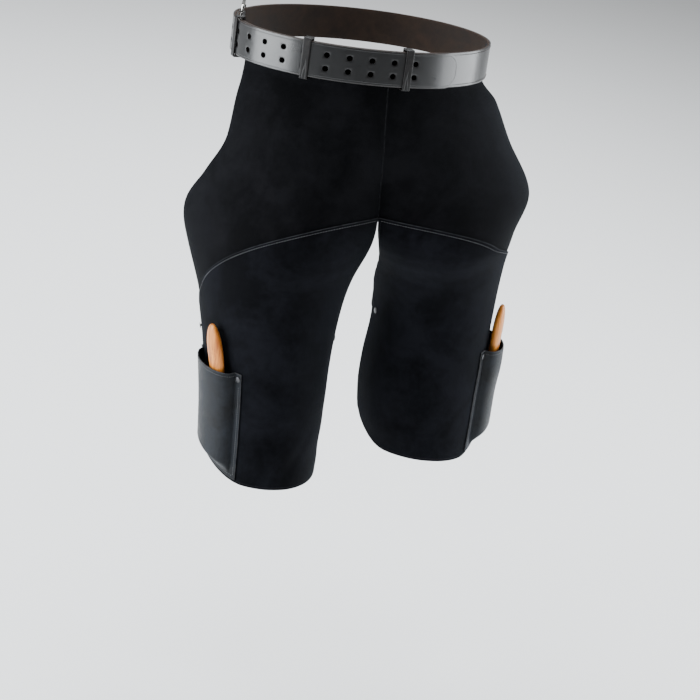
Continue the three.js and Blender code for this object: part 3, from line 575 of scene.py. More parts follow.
class Effects:
    """Shader effects that several finishes share, as node groups."""

    def __init__(self) -> None:
        """Makes each group once."""
        self.mottle = self._mottle()
        self.grain = self._grain()
        self.wear = self._wear()
        self.groove = self._groove()

    @staticmethod
    def _group(name: str, inputs: dict[str, float], outputs: dict[str, str]) -> bpy.types.NodeTree:
        """Starts a group with float inputs and the given outputs."""
        tree = bpy.data.node_groups.new(name, "ShaderNodeTree")
        for label, value in inputs.items():
            socket = tree.interface.new_socket(label, in_out="INPUT", socket_type="NodeSocketFloat")
            socket.default_value = value
        for label, kind in outputs.items():
            tree.interface.new_socket(label, in_out="OUTPUT", socket_type=kind)
        return tree

    def _mottle(self) -> bpy.types.NodeTree:
        """Cloudy patches and brushed streaks, as a mask."""
        tree = self._group("mottle", {"Size": 24.0, "Contrast": 1.0}, {"Mask": "NodeSocketFloat"})
        n = Nodes(tree)
        ends = n.add("NodeGroupInput"), n.add("NodeGroupOutput")
        place = n.add("ShaderNodeTexCoord").outputs["Object"]
        cloud = n.add("ShaderNodeTexNoise", Detail=5.0, Roughness=0.62, Distortion=0.6)
        n.feed(cloud.inputs["Vector"], place)
        n.feed(cloud.inputs["Scale"], ends[0].outputs["Size"])
        fine = n.add("ShaderNodeTexNoise", Detail=6.0, Roughness=0.7)
        n.feed(fine.inputs["Vector"], place)
        n.feed(fine.inputs["Scale"], n.math("MULTIPLY", ends[0].outputs["Size"], 7.5))
        large = n.math("MULTIPLY", cloud.outputs["Fac"], 0.72)
        small = n.math("MULTIPLY", fine.outputs["Fac"], 0.28)
        both = n.math("ADD", large, small)
        spread = n.math("MULTIPLY", ends[0].outputs["Contrast"], 3.4)
        centred = n.math("MULTIPLY", n.math("SUBTRACT", both, 0.5), spread)
        mask = n.add("ShaderNodeClamp")
        n.feed(mask.inputs["Value"], n.math("ADD", centred, 0.5))
        n.feed(ends[1].inputs["Mask"], mask.outputs[0])
        return tree

    def _grain(self) -> bpy.types.NodeTree:
        """Leather pores or nap, as a height."""
        tree = self._group("hide_grain", {"Pore": 900.0, "Nap": 0.5}, {"Height": "NodeSocketFloat"})
        n = Nodes(tree)
        ends = n.add("NodeGroupInput"), n.add("NodeGroupOutput")
        place = n.add("ShaderNodeTexCoord").outputs["Object"]
        pore = n.add("ShaderNodeTexVoronoi", feature="SMOOTH_F1", Smoothness=0.4)
        n.feed(pore.inputs["Vector"], place)
        n.feed(pore.inputs["Scale"], ends[0].outputs["Pore"])
        nap = n.add("ShaderNodeTexNoise", Detail=4.0, Roughness=0.75)
        n.feed(nap.inputs["Vector"], place)
        n.feed(nap.inputs["Scale"], n.math("MULTIPLY", ends[0].outputs["Pore"], 0.8))
        share = ends[0].outputs["Nap"]
        pores = n.math("MULTIPLY", pore.outputs["Distance"], n.math("SUBTRACT", 1.0, share))
        n.feed(ends[1].inputs["Height"], n.math("ADD", pores, n.math("MULTIPLY", nap.outputs["Fac"], share)))
        return tree

    def _wear(self) -> bpy.types.NodeTree:
        """Rubbed cut edges, from the `edge` attribute, as a mask."""
        tree = self._group("edge_wear", {"Amount": 1.0}, {"Mask": "NodeSocketFloat"})
        n = Nodes(tree)
        ends = n.add("NodeGroupInput"), n.add("NodeGroupOutput")
        edge = n.add("ShaderNodeAttribute", attribute_name="edge")
        scuff = n.add("ShaderNodeTexNoise", Scale=140.0, Detail=5.0, Roughness=0.7)
        n.feed(scuff.inputs["Vector"], n.add("ShaderNodeTexCoord").outputs["Object"])
        rubbed = n.math("MULTIPLY", edge.outputs["Fac"], n.ramp(scuff.outputs["Fac"], 0.32, 0.62))
        n.feed(ends[1].inputs["Mask"], n.math("MULTIPLY", rubbed, ends[0].outputs["Amount"]))
        return tree


    def _groove(self) -> bpy.types.NodeTree:
        """A line creased beside the cut edges, from the `rim` attribute in millimetres, as a mask."""
        tree = self._group("edge_groove", {"Inset": 3.0, "Width": 0.7}, {"Mask": "NodeSocketFloat"})
        n = Nodes(tree)
        ends = n.add("NodeGroupInput"), n.add("NodeGroupOutput")
        rim = n.add("ShaderNodeAttribute", attribute_name="rim")
        away = n.math("ABSOLUTE", n.math("SUBTRACT", rim.outputs["Fac"], ends[0].outputs["Inset"]))
        share = n.math("DIVIDE", away, ends[0].outputs["Width"])
        n.feed(ends[1].inputs["Mask"], n.math("MAXIMUM", n.math("SUBTRACT", 1.0, share), 0.0))
        return tree


Colour = tuple[float, float, float, float]


@dataclass(frozen=True)
class HideFinish:
    """A leather finish: its colours, nap or grain, and gloss."""

    name: str
    dark: Colour
    light: Colour
    edge: Colour
    roughness: tuple[float, float]
    pore: float
    nap: float
    depth: float
    size: float = 22.0
    contrast: float = 1.0
    sheen: float = 0.0
    coat: float = 0.0
    wear: float = 0.6
    specular: float = 0.5
    groove: float = 0.0

    def material(self, effects: Effects) -> bpy.types.Material:
        """Returns the finish as a material."""
        material = bpy.data.materials.new(self.name)
        material.use_nodes = True
        n = Nodes(material.node_tree)
        shader = material.node_tree.nodes["Principled BSDF"]
        mottle = n.add("ShaderNodeGroup", node_tree=effects.mottle)
        mottle.inputs["Size"].default_value = self.size
        mottle.inputs["Contrast"].default_value = self.contrast
        grain = n.add("ShaderNodeGroup", node_tree=effects.grain)
        grain.inputs["Pore"].default_value = self.pore
        grain.inputs["Nap"].default_value = self.nap
        wear = n.add("ShaderNodeGroup", node_tree=effects.wear)
        wear.inputs["Amount"].default_value = self.wear
        base = n.blend(mottle.outputs["Mask"], self.dark, self.light)
        n.feed(shader.inputs["Base Color"], n.blend(wear.outputs["Mask"], base, self.edge))
        low, high = self.roughness
        varied = n.math("ADD", n.math("MULTIPLY", mottle.outputs["Mask"], high - low), low)
        n.feed(shader.inputs["Roughness"], varied)
        height = n.add("ShaderNodeBump", Strength=1.0)
        height.inputs["Distance"].default_value = self.depth
        relief = grain.outputs["Height"]
        if self.groove:
            groove = n.add("ShaderNodeGroup", node_tree=effects.groove)
            relief = n.math("SUBTRACT", relief, n.math("MULTIPLY", groove.outputs["Mask"], self.groove * 4))
        n.feed(height.inputs["Height"], relief)
        n.feed(shader.inputs["Normal"], height.outputs["Normal"])
        shader.inputs["Specular IOR Level"].default_value = self.specular
        shader.inputs["Sheen Weight"].default_value = self.sheen
        shader.inputs["Sheen Roughness"].default_value = 0.45
        shader.inputs["Sheen Tint"].default_value = (0.62, 0.7, 0.85, 1)
        shader.inputs["Coat Weight"].default_value = self.coat
        shader.inputs["Coat Roughness"].default_value = 0.18
        return material


@dataclass(frozen=True)
class MetalFinish:
    """A plated or ground metal."""

    name: str
    dark: Colour
    light: Colour
    roughness: float
    size: float = 60.0

    def material(self, effects: Effects) -> bpy.types.Material:
        """Returns the finish as a material."""
        material = bpy.data.materials.new(self.name)
        material.use_nodes = True
        n = Nodes(material.node_tree)
        shader = material.node_tree.nodes["Principled BSDF"]
        mottle = n.add("ShaderNodeGroup", node_tree=effects.mottle)
        mottle.inputs["Size"].default_value = self.size
        n.feed(shader.inputs["Base Color"], n.blend(mottle.outputs["Mask"], self.dark, self.light))
        varied = n.math("ADD", n.math("MULTIPLY", mottle.outputs["Mask"], 0.14), self.roughness)
        n.feed(shader.inputs["Roughness"], varied)
        scratch = n.add("ShaderNodeTexNoise", Scale=900.0, Detail=3.0)
        n.feed(scratch.inputs["Vector"], n.add("ShaderNodeTexCoord").outputs["Object"])
        height = n.add("ShaderNodeBump", Strength=0.35, Distance=0.0001)
        n.feed(height.inputs["Height"], scratch.outputs["Fac"])
        n.feed(shader.inputs["Normal"], height.outputs["Normal"])
        shader.inputs["Metallic"].default_value = 1.0
        return material


@dataclass(frozen=True)
class WoodFinish:
    """Varnished wood with its grain along the part."""

    name: str = "honey_wood"
    dark: Colour = (0.33, 0.085, 0.012, 1)
    light: Colour = (0.78, 0.29, 0.05, 1)

    def material(self) -> bpy.types.Material:
        """Returns the finish as a material."""
        material = bpy.data.materials.new(self.name)
        material.use_nodes = True
        n = Nodes(material.node_tree)
        shader = material.node_tree.nodes["Principled BSDF"]
        place = n.add("ShaderNodeTexCoord").outputs["Object"]
        stretch = n.add("ShaderNodeMapping", Scale=(1.0, 1.0, 0.07))
        n.feed(stretch.inputs["Vector"], place)
        fibre = n.add("ShaderNodeTexNoise", Scale=420.0, Detail=5.0, Roughness=0.62, Distortion=0.4)
        n.feed(fibre.inputs["Vector"], stretch.outputs["Vector"])
        band = n.add("ShaderNodeTexNoise", Scale=85.0, Detail=3.0, Roughness=0.5, Distortion=1.2)
        n.feed(band.inputs["Vector"], stretch.outputs["Vector"])
        fine = n.math("MULTIPLY", fibre.outputs["Fac"], 0.45)
        grain = n.math("ADD", fine, n.math("MULTIPLY", band.outputs["Fac"], 0.55))
        n.feed(shader.inputs["Base Color"], n.blend(n.ramp(grain, 0.36, 0.6), self.dark, self.light))
        n.feed(shader.inputs["Roughness"], n.math("ADD", n.math("MULTIPLY", fibre.outputs["Fac"], 0.2), 0.26))
        height = n.add("ShaderNodeBump", Strength=0.4, Distance=0.00015)
        n.feed(height.inputs["Height"], fibre.outputs["Fac"])
        n.feed(shader.inputs["Normal"], height.outputs["Normal"])
        shader.inputs["Specular IOR Level"].default_value = 0.3
        shader.inputs["Coat Weight"].default_value = 0.12
        shader.inputs["Coat Roughness"].default_value = 0.2
        return material


@dataclass(frozen=True)
class WovenFinish:
    """Woven webbing, from the piece's own UV map in metres."""

    name: str = "woven_webbing"
    dark: Colour = (0.003, 0.003, 0.0035, 1)
    light: Colour = (0.014, 0.014, 0.016, 1)
    rib: float = 0.0011

    def material(self) -> bpy.types.Material:
        """Returns the finish as a material."""
        material = bpy.data.materials.new(self.name)
        material.use_nodes = True
        n = Nodes(material.node_tree)
        shader = material.node_tree.nodes["Principled BSDF"]
        parts = n.add("ShaderNodeSeparateXYZ")
        n.feed(parts.inputs[0], n.add("ShaderNodeUVMap", uv_map="cut").outputs["UV"])
        warp = n.math("SINE", n.math("MULTIPLY", parts.outputs["X"], math.tau / self.rib))
        weft = n.math("SINE", n.math("MULTIPLY", parts.outputs["Y"], math.tau / (self.rib * 1.6)))
        weave = n.ramp(n.math("MULTIPLY", warp, weft), -1.0, 1.0)
        n.feed(shader.inputs["Base Color"], n.blend(weave, self.dark, self.light))
        height = n.add("ShaderNodeBump", Strength=0.9, Distance=0.0004)
        n.feed(height.inputs["Height"], weave)
        n.feed(shader.inputs["Normal"], height.outputs["Normal"])
        shader.inputs["Roughness"].default_value = 0.85
        shader.inputs["Specular IOR Level"].default_value = 0.12
        shader.inputs["Sheen Weight"].default_value = 0.05
        return material


SUEDE = HideFinish(
    "napped_suede", (0.0013, 0.0014, 0.0018, 1), (0.0052, 0.0053, 0.0063, 1), (0.034, 0.035, 0.038, 1),
    (0.82, 0.95), 1500, 0.85, 0.0006, size=13, contrast=1.5, sheen=0.03, wear=0.7, specular=0.04,
)
PATCH_SUEDE = HideFinish(
    "napped_patch_suede", (0.0013, 0.0015, 0.0022, 1), (0.0062, 0.0067, 0.0090, 1), (0.045, 0.046, 0.05, 1),
    (0.82, 0.95), 1500, 0.85, 0.0006, size=12, contrast=1.5, sheen=0.035, wear=0.9, specular=0.04,
)
SMOOTH_LEATHER = HideFinish(
    "smooth_pocket_leather", (0.0035, 0.0042, 0.0055, 1), (0.014, 0.017, 0.022, 1), (0.07, 0.07, 0.074, 1),
    (0.42, 0.6), 1100, 0.25, 0.0004, size=20, contrast=1.5, sheen=0.02, coat=0.02, wear=0.8,
    specular=0.16,
)
BELT_LEATHER = HideFinish(
    "glossy_belt_leather", (0.0016, 0.0017, 0.0021, 1), (0.0045, 0.0046, 0.0054, 1), (0.03, 0.024, 0.022, 1),
    (0.26, 0.38), 800, 0.3, 0.00012, size=30, contrast=0.8, coat=0.45, wear=0.8, specular=0.5,
    groove=0.8,
)
KEEPER_LEATHER = HideFinish(
    "dark_keeper_leather", (0.0014, 0.0014, 0.0017, 1), (0.0045, 0.0044, 0.005, 1), (0.022, 0.019, 0.018, 1),
    (0.36, 0.5), 800, 0.3, 0.00012, size=40, contrast=0.9, coat=0.08, wear=0.6, specular=0.28,
    groove=0.8,
)
LINING_LEATHER = HideFinish(
    "brown_lining_leather", (0.012, 0.007, 0.005, 1), (0.030, 0.018, 0.012, 1), (0.07, 0.04, 0.028, 1),
    (0.7, 0.85), 1300, 0.7, 0.0005, size=30, wear=0.5, specular=0.2,
)
THREAD = HideFinish(
    "waxed_thread", (0.11, 0.112, 0.118, 1), (0.24, 0.24, 0.25, 1), (0.24, 0.24, 0.25, 1),
    (0.6, 0.7), 2500, 0.8, 0.0003, size=90, wear=0.0, specular=0.3,
)
DARK_THREAD = HideFinish(
    "dark_thread", (0.014, 0.014, 0.016, 1), (0.032, 0.032, 0.035, 1), (0.032, 0.032, 0.035, 1),
    (0.6, 0.7), 2500, 0.8, 0.0003, size=90, wear=0.0, specular=0.2,
)
BELT_THREAD = HideFinish(
    "brown_thread", (0.03, 0.019, 0.016, 1), (0.07, 0.048, 0.04, 1), (0.07, 0.048, 0.04, 1),
    (0.5, 0.65), 2500, 0.8, 0.0003, size=90, wear=0.0, specular=0.3,
)
MOULDED_PLASTIC = HideFinish(
    "moulded_plastic", (0.006, 0.006, 0.007, 1), (0.013, 0.013, 0.014, 1), (0.013, 0.013, 0.014, 1),
    (0.42, 0.55), 2600, 0.6, 0.0002, size=60, wear=0.0, specular=0.25,
)
NICKEL = MetalFinish("nickel_plate", (0.42, 0.41, 0.39, 1), (0.72, 0.71, 0.68, 1), 0.16)
DARK_STEEL = MetalFinish("blackened_steel", (0.03, 0.03, 0.033, 1), (0.13, 0.13, 0.135, 1), 0.3)
BLADE_STEEL = MetalFinish("ground_steel", (0.34, 0.35, 0.36, 1), (0.6, 0.61, 0.62, 1), 0.24)
BRASS = MetalFinish("worn_brass", (0.35, 0.23, 0.09, 1), (0.72, 0.52, 0.24, 1), 0.22)


@dataclass
class Palette:
    """Every finish, made once."""

    effects: Effects = field(default_factory=Effects)

    def __post_init__(self) -> None:
        """Makes the materials."""
        self.suede = SUEDE.material(self.effects)
        self.patch = PATCH_SUEDE.material(self.effects)
        self.pocket = SMOOTH_LEATHER.material(self.effects)
        self.belt = BELT_LEATHER.material(self.effects)
        self.keeper = KEEPER_LEATHER.material(self.effects)
        self.lining = LINING_LEATHER.material(self.effects)
        self.thread = THREAD.material(self.effects)
        self.dark_thread = DARK_THREAD.material(self.effects)
        self.belt_thread = BELT_THREAD.material(self.effects)
        self.plastic = MOULDED_PLASTIC.material(self.effects)
        self.nickel = NICKEL.material(self.effects)
        self.dark_steel = DARK_STEEL.material(self.effects)
        self.blade = BLADE_STEEL.material(self.effects)
        self.brass = BRASS.material(self.effects)
        self.wood = WoodFinish().material()
        self.webbing = WovenFinish().material()


# ---- The belt -----------------------------------------------------------------------------------


@dataclass
class Belt:
    """The waist belt: two plies that go once round, under the buckle and on to the rounded tip."""

    waist: Waist
    height: float = 48.0
    outer_ply: float = 2.2
    lining_ply: float = 1.6
    ply_gap: float = 0.2
    hole_pitch: float = 29.4
    row_spacing: float = 18.5
    hole_radius: float = 4.0
    hole_pairs: int = 13
    first_hole: float = -322.0
    tip_past_hole: float = 68.0
    tip_round: float = 19.0
    prong_reach: float = 18.0
    frame_depth: float = 50.0
    heel_bar: float = 2.4
    fold_tail: float = 42.0
    prong_slot: float = 4.6
    keeper_places: tuple[float, ...] = (-242.0, -114.0, 21.0)
    keeper_width: float = 11.0
    keeper_leather: float = 2.0
    back_gap: float = 0.8

    def __post_init__(self) -> None:
        """Works out the places along and across the belt."""
        self.thickness = self.outer_ply + self.ply_gap + self.lining_ply
        self.inner_face = HIDE_PANEL + LAYER_GAP
        self.rise = self.thickness + LAYER_GAP
        self.heel = self.first_hole + self.prong_reach
        self.tip = self.first_hole + (self.hole_pairs - 1) * self.hole_pitch + self.tip_past_hole
        self.fold_radius = self.heel_bar + SEAT_GAP + self.outer_ply / 2
        self.outer_line = self.inner_face + self.lining_ply + self.ply_gap + self.outer_ply / 2
        self.heel_off = self.outer_line - self.fold_radius

    def rise_at(self, distance: float) -> float:
        """Returns how far the second turn stands outside the first, `distance` from the front centre."""
        start, end = self.heel - self.frame_depth + 12, self.heel - 7
        return self.rise * smooth((distance - self.waist.length - start) / (end - start))

    def tip_scale(self, distance: float) -> float:
        """Returns the belt's height at the rounded tip, as a share of the full height."""
        share = clamp((self.tip + self.waist.length - distance) / self.tip_round)
        return max(0.02, (1 - (1 - share) ** 2.2) ** 0.6)

    def columns(self, start: float, end: float) -> tuple[list[float], list[float]]:
        """Returns the lines across the strap between two distances, and the places of its holes."""
        holes = [
            self.first_hole + k * self.hole_pitch + turn
            for turn in (0.0, self.waist.length)
            for k in range(self.hole_pairs)
        ]
        holes = [h for h in holes if start + 9 < h < end - 9]
        marks = sorted({start, end, *(h + d for h in holes for d in (-6, 6))})
        lines: list[float] = []
        for a, b in zip(marks, marks[1:]):
            steps = 1 if any(abs((a + b) / 2 - h) < 1 for h in holes) else max(1, round((b - a) / 6))
            lines += [mix(a, b, i / steps) for i in range(steps)]
        tail = [end - self.tip_round * (1 - t) ** 2 for t in (0.15, 0.3, 0.45, 0.6, 0.72, 0.82, 0.9, 0.96)]
        return sorted({*lines, end, *(t for t in tail if t > lines[-2])}), holes

    def strap(self, start: float, end: float, line: float, ply: float) -> bmesh.types.BMesh:
        """Makes one ply of the strap, with its pairs of holes.

        Args:
            start: where it starts, as a distance from the front centre.
            end: where it ends.
            line: how far outside the waist its middle lies on the first turn.
            ply: its thickness.

        Returns:
            The ply's mesh, in millimetres.
        """
        lines, holes = self.columns(start, end)
        half, row = self.height / 2, self.row_spacing / 2
        rows = sorted({s * h for s in (-1, 1) for h in (half, half - 2.2, row + 6, row - 6)} | {0.0})
        bm = bmesh.new()
        bmesh.ops.create_grid(bm, x_segments=len(lines) - 1, y_segments=len(rows) - 1, size=0.5)
        for vert in bm.verts:
            i = round((vert.co.x + 0.5) * (len(lines) - 1))
            j = round((vert.co.y + 0.5) * (len(rows) - 1))
            vert.co = (lines[i], rows[j], 0)
        for hole in holes:
            for side in (-1, 1):
                self.punch(bm, Vector((hole, side * row, 0)))
        uv = bm.loops.layers.uv.new("cut")
        edge = bm.verts.layers.float.new("edge")
        rim = bm.verts.layers.float.new("rim")
        for face in bm.faces:
            for loop in face.loops:
                loop[uv].uv = (loop.vert.co.x * MM, loop.vert.co.y * MM)
        for vert in bm.verts:
            distance, rise = vert.co.x, vert.co.y
            vert[rim] = min((half - abs(rise)) * self.tip_scale(distance), end - distance)
            vert[edge] = 1 - smooth(vert[rim] / 2.2)
            point, out = self.waist.point(distance, line + ply / 2 + self.rise_at(distance))
            vert.co = (point.x, point.y, rise * self.tip_scale(distance))
        face_out(bm, Vector((0, 0, 0)))
        thicken(bm, ply, 0.55)
        return bm

    def punch(self, bm: bmesh.types.BMesh, centre: Vector) -> None:
        """Opens a round hole in the flat strap, in the square face round a point."""
        face = min(bm.faces, key=lambda f: (f.calc_center_median() - centre).length)
        bmesh.ops.subdivide_edges(bm, edges=face.edges[:], cuts=3)
        face = min(bm.faces, key=lambda f: (f.calc_center_median() - centre).length)
        bmesh.ops.inset_region(bm, faces=[face], thickness=1.0)
        face = min(bm.faces, key=lambda f: (f.calc_center_median() - centre).length)
        for vert in face.verts:
            vert.co = centre + (vert.co - centre).normalized() * self.hole_radius
        bmesh.ops.delete(bm, geom=[face], context="FACES")

    def fold(self) -> bmesh.types.BMesh:
        """Makes the strap's turned-back end, with a slot for each prong."""
        tail_off = self.inner_face - SEAT_GAP - self.outer_ply / 2
        bottom = self.heel_off - self.fold_radius

        def line(share: float) -> Vector:
            if share < 0.6:
                s = share / 0.6
                off = mix(tail_off, bottom, smooth((s - 0.6) / 0.4))
                return self.waist.point(self.heel + self.fold_tail * (1 - s), off)[0]
            if share < 0.9:
                turn = math.pi * (share - 0.6) / 0.3
                off = self.heel_off - self.fold_radius * math.cos(turn)
                return self.waist.point(self.heel - self.fold_radius * math.sin(turn), off)[0]
            return self.waist.point(self.heel + 8 * (share - 0.9) / 0.1, self.outer_line)[0]

        rows = [-24, -21.8, -11.55, -6.95, 0, 6.95, 11.55, 21.8, 24]

        def place(u: float, v: float) -> Vector:
            before, after = line(max(0, u - 0.004)), line(min(1, u + 0.004))
            ahead = (after - before).normalized()
            point = line(u) + Vector((-ahead.y, ahead.x, 0)) * self.outer_ply / 2
            point.z = rows[round(v * 8)]
            return point

        bm = grid(60, 8, place, (0.1, self.height * MM))
        heel = self.waist.frame(self.heel, self.heel_off)
        slots = []
        for face in bm.faces:
            middle = heel.inverted() @ face.calc_center_median()
            if middle.x > -7.5 and abs(abs(middle.z) - self.row_spacing / 2) < self.prong_slot / 2:
                slots.append(face)
        bmesh.ops.delete(bm, geom=slots, context="FACES")
        thicken(bm, self.outer_ply, 0.5)
        bmesh.ops.recalc_face_normals(bm, faces=bm.faces[:])
        return bm

    def keeper(self, distance: float, back: float) -> bmesh.types.BMesh:
        """Makes one keeper: a leather loop round the belt.

        Args:
            distance: its place round the waist.
            back: how far outside the waist its inner side lies.

        Returns:
            The loop's mesh, in millimetres.
        """
        front = self.inner_face + self.rise + self.thickness + SEAT_GAP
        deep, tall = front - back, self.height + 5
        frame = self.waist.frame(distance, (front + back) / 2)
        radius = 2.2
        half_y, half_z = deep / 2 + self.keeper_leather, tall / 2 + self.keeper_leather
        corners = [(half_y, half_z), (-half_y, half_z), (-half_y, -half_z), (half_y, -half_z)]
        loop: list[tuple[float, float]] = []
        for k, (y, z) in enumerate(corners):
            middle = (y - math.copysign(radius, y), z - math.copysign(radius, z))
            for i in range(7):
                turn = math.pi / 2 * (k + i / 6)
                loop.append((middle[0] + radius * math.cos(turn), middle[1] + radius * math.sin(turn)))
        loop.append(loop[0])

        def place(u: float, v: float) -> Vector:
            y, z = loop[round(u * (len(loop) - 1))]
            return frame @ Vector(((v - 0.5) * self.keeper_width, y, z))

        bm = grid(len(loop) - 1, 6, place, (0.13, self.keeper_width * MM))
        bmesh.ops.remove_doubles(bm, verts=bm.verts[:], dist=1e-3)
        bmesh.ops.recalc_face_normals(bm, faces=bm.faces[:])
        face_out(bm, frame.translation)
        thicken(bm, self.keeper_leather, 0.5)
        return bm

    def stitch_rows(self) -> bmesh.types.BMesh:
        """Makes the stitches along both edges of the strap, on its outer face."""
        bm = bmesh.new()
        from_edge, past_tip, past_frame = 3.2, 6, 8
        start = self.tip + past_tip
        stop = self.heel + self.waist.length - self.frame_depth + past_frame
        for row in (-1, 1):

            def path(t: float, row: int = row) -> tuple[Vector, Vector]:
                distance = mix(start, stop, t)
                off = self.outer_line + self.outer_ply / 2 + self.rise_at(distance)
                point, out = self.waist.point(distance, off)
                point.z = row * (self.height / 2 - from_edge)
                return point, out

            lay_stitches(bm, path, 4.2, 3.0, 0.75)
        return bm

    def make(self, shop: Workshop, palette: Palette) -> None:
        """Builds the belt and its keepers."""
        end = self.tip + self.waist.length
        outer = self.strap(self.heel + 7.5, end, self.outer_line, self.outer_ply)
        shop.finish(outer, "belt_strap", palette.belt, nodes=["belt_outer"])
        shop.finish(self.fold(), "belt_fold", palette.belt)
        lining_line = self.inner_face + self.lining_ply / 2
        lining = self.strap(self.heel + 9, end, lining_line, self.lining_ply)
        shop.finish(lining, "belt_backing", palette.lining, nodes=["belt_lining"])
        shop.finish(self.stitch_rows(), "belt_stitches", palette.belt_thread)
        names = ("keeper_right_hip", "keeper_right_front", "keeper_left_front")
        for i, (name, distance) in enumerate(zip(names, self.keeper_places)):
            back = self.inner_face - LAYER_GAP if i == 0 else -self.back_gap
            loop = self.keeper(distance, back)
            shop.finish(loop, f"{name}_loop", palette.keeper, nodes=[name])


# ---- Leg leather --------------------------------------------------------------------------------


@dataclass
class LegLeather:
    """One leg of the apron: its panel, its leg patch and its knife pocket."""

    leg: Leg
    arch_inset: float = 4.0
    pocket_mouth: float = 21.0
    pocket_margin: float = 0.1
    pocket_lean: float = 0.62
    strap_above_pocket: float = 36.0
    strap_overlap: float = 13.0
    rivet_in: float = 8.0
    rivet_head: float = 4.5

    @property
    def tag(self) -> str:
        """The side's name, which ends each piece's name."""
        return self.leg.side.value

    def inside(self) -> Vector:
        """Returns a point inside the thigh."""
        leg = self.leg
        return Vector((leg.sign * along(leg.centre, -430), -along(leg.forward, -430), -430))

    def row_height(self, u: float, v: float) -> float:
        """Returns the height of the panel's row at a share v of its length."""
        if v <= 0.09:
            return mix(PANEL_TOP, LEVELS[0], v / 0.09)
        return mix(LEVELS[0], self.leg.hem_height(u), (v - 0.09) / 0.91)

    def panel(self) -> bmesh.types.BMesh:
        """Makes the front panel."""
        leg = self.leg
        bm = grid(
            84, 150, lambda u, v: leg.laid(u, self.row_height(u, v), HIDE_PANEL), (0.34, leg.hem * MM), 0.0014
        )
        face_out(bm, self.inside())
        thicken(bm, HIDE_PANEL, 0.5)
        return bm

    def patch_height(self, u: float, v: float) -> float:
        """Returns the height of the leg patch's row at a share v from its arched seam down."""
        return mix(self.leg.arch_height(u), self.leg.hem_height(u), v)

    def patch(self) -> bmesh.types.BMesh:
        """Makes the leg patch, from its arched seam to the hem."""
        leg = self.leg
        outer = PATCH_OFF + HIDE_PATCH
        bm = grid(84, 110, lambda u, v: leg.laid(u, self.patch_height(u, v), outer), (0.34, 0.36), 0.0014)
        face_out(bm, self.inside())
        thicken(bm, HIDE_PATCH, 0.5)
        return bm

    def patch_stitches(self) -> tuple[bmesh.types.BMesh, bmesh.types.BMesh]:
        """Makes the stitches along the arched seam, and those down the side edges and the hem."""
        leg = self.leg
        outer = PATCH_OFF + HIDE_PATCH

        def at(u: float, z: float) -> tuple[Vector, Vector]:
            point = leg.laid(u, z, outer)
            return point, leg.laid(u, z, outer + 1) - point

        def arch(t: float) -> tuple[Vector, Vector]:
            u = mix(0.012, 0.985, t)
            return at(u, leg.arch_height(u) - self.arch_inset)

        def hem(t: float) -> tuple[Vector, Vector]:
            u = mix(0.02, 0.98, t)
            return at(u, leg.hem_height(u) + self.arch_inset)

        def inner(t: float) -> tuple[Vector, Vector]:
            return at(0.014, mix(leg.arch_height(0.014) - 6, leg.hem_height(0.014) + 5, t))

        def outer_side(t: float) -> tuple[Vector, Vector]:
            return at(0.986, mix(leg.arch_height(0.986) - 6, leg.hem_height(0.986) + 5, t))

        seam, edges = bmesh.new(), bmesh.new()
        lay_stitches(seam, arch, 3.9, 2.2, 0.75, sink=0.45)
        for path in (hem, inner, outer_side):
            lay_stitches(edges, path, 3.4, 2.4, 0.55)
        return seam, edges

    def pocket_off(self, across: float, down: float) -> float:
        """Returns how far the pocket's leather stands off the patch."""
        inside = clamp((across - self.pocket_margin) / (1 - 2 * self.pocket_margin))
        belly = math.sin(math.pi * inside**self.pocket_lean) ** 0.6 if 0 < inside < 1 else 0.0
        closing = (1 - 0.18 * smooth(down / 0.6)) * (1 - smooth((down - 0.85) / 0.13))
        return self.pocket_mouth * belly * closing

    def pocket_point(self, across: float, down: float, off: float) -> Vector:
        """Returns a point on the pocket, `off` outside its inner face."""
        leg = self.leg
        angle = math.radians(mix(leg.pocket_front, leg.pocket_rear, across))
        foot = leg.hem_height(clamp(leg.share(angle, -leg.pocket_top))) + 5
        z = mix(self.pocket_rim(across), foot, down)
        return leg.point(angle, z, POCKET_OFF + self.pocket_off(across, down) + off)

    def pocket_rim(self, across: float) -> float:
        """Returns the height of the pocket's upper edge."""
        return -self.leg.pocket_top + 4 * across

    def pocket(self) -> bmesh.types.BMesh:
        """Makes the knife pocket."""
        bm = grid(70, 60, lambda u, v: self.pocket_point(u, v, HIDE_POCKET), (0.118, 0.16), 0.0012)
        face_out(bm, self.inside())
        thicken(bm, HIDE_POCKET, 0.5)
        return bm

    def pocket_stitches(self) -> bmesh.types.BMesh:
        """Makes the pocket's stitches: down both side margins, along its foot and under its rim."""

        def at(across: float, down: float) -> tuple[Vector, Vector]:
            point = self.pocket_point(across, down, HIDE_POCKET)
            side = self.pocket_point(across + 0.01, down, HIDE_POCKET) - point
            below = self.pocket_point(across, min(1, down + 0.01), HIDE_POCKET) - point
            out = below.cross(side) * self.leg.sign if down < 0.99 else side.cross(Vector((0, 0, 1)))
            away = point - self.inside()
            return point, out if out.dot(Vector((away.x, away.y, 0))) > 0 else -out

        bm = bmesh.new()
        for path in (
            lambda t: at(0.035, mix(0.12, 0.97, t)),
            lambda t: at(0.965, mix(0.12, 0.97, t)),
            lambda t: at(mix(0.05, 0.95, t), 0.97),
            lambda t: at(mix(0.02, 0.98, t), 0.03),
        ):
            lay_stitches(bm, path, 3.4, 2.4, 0.55)
        return bm

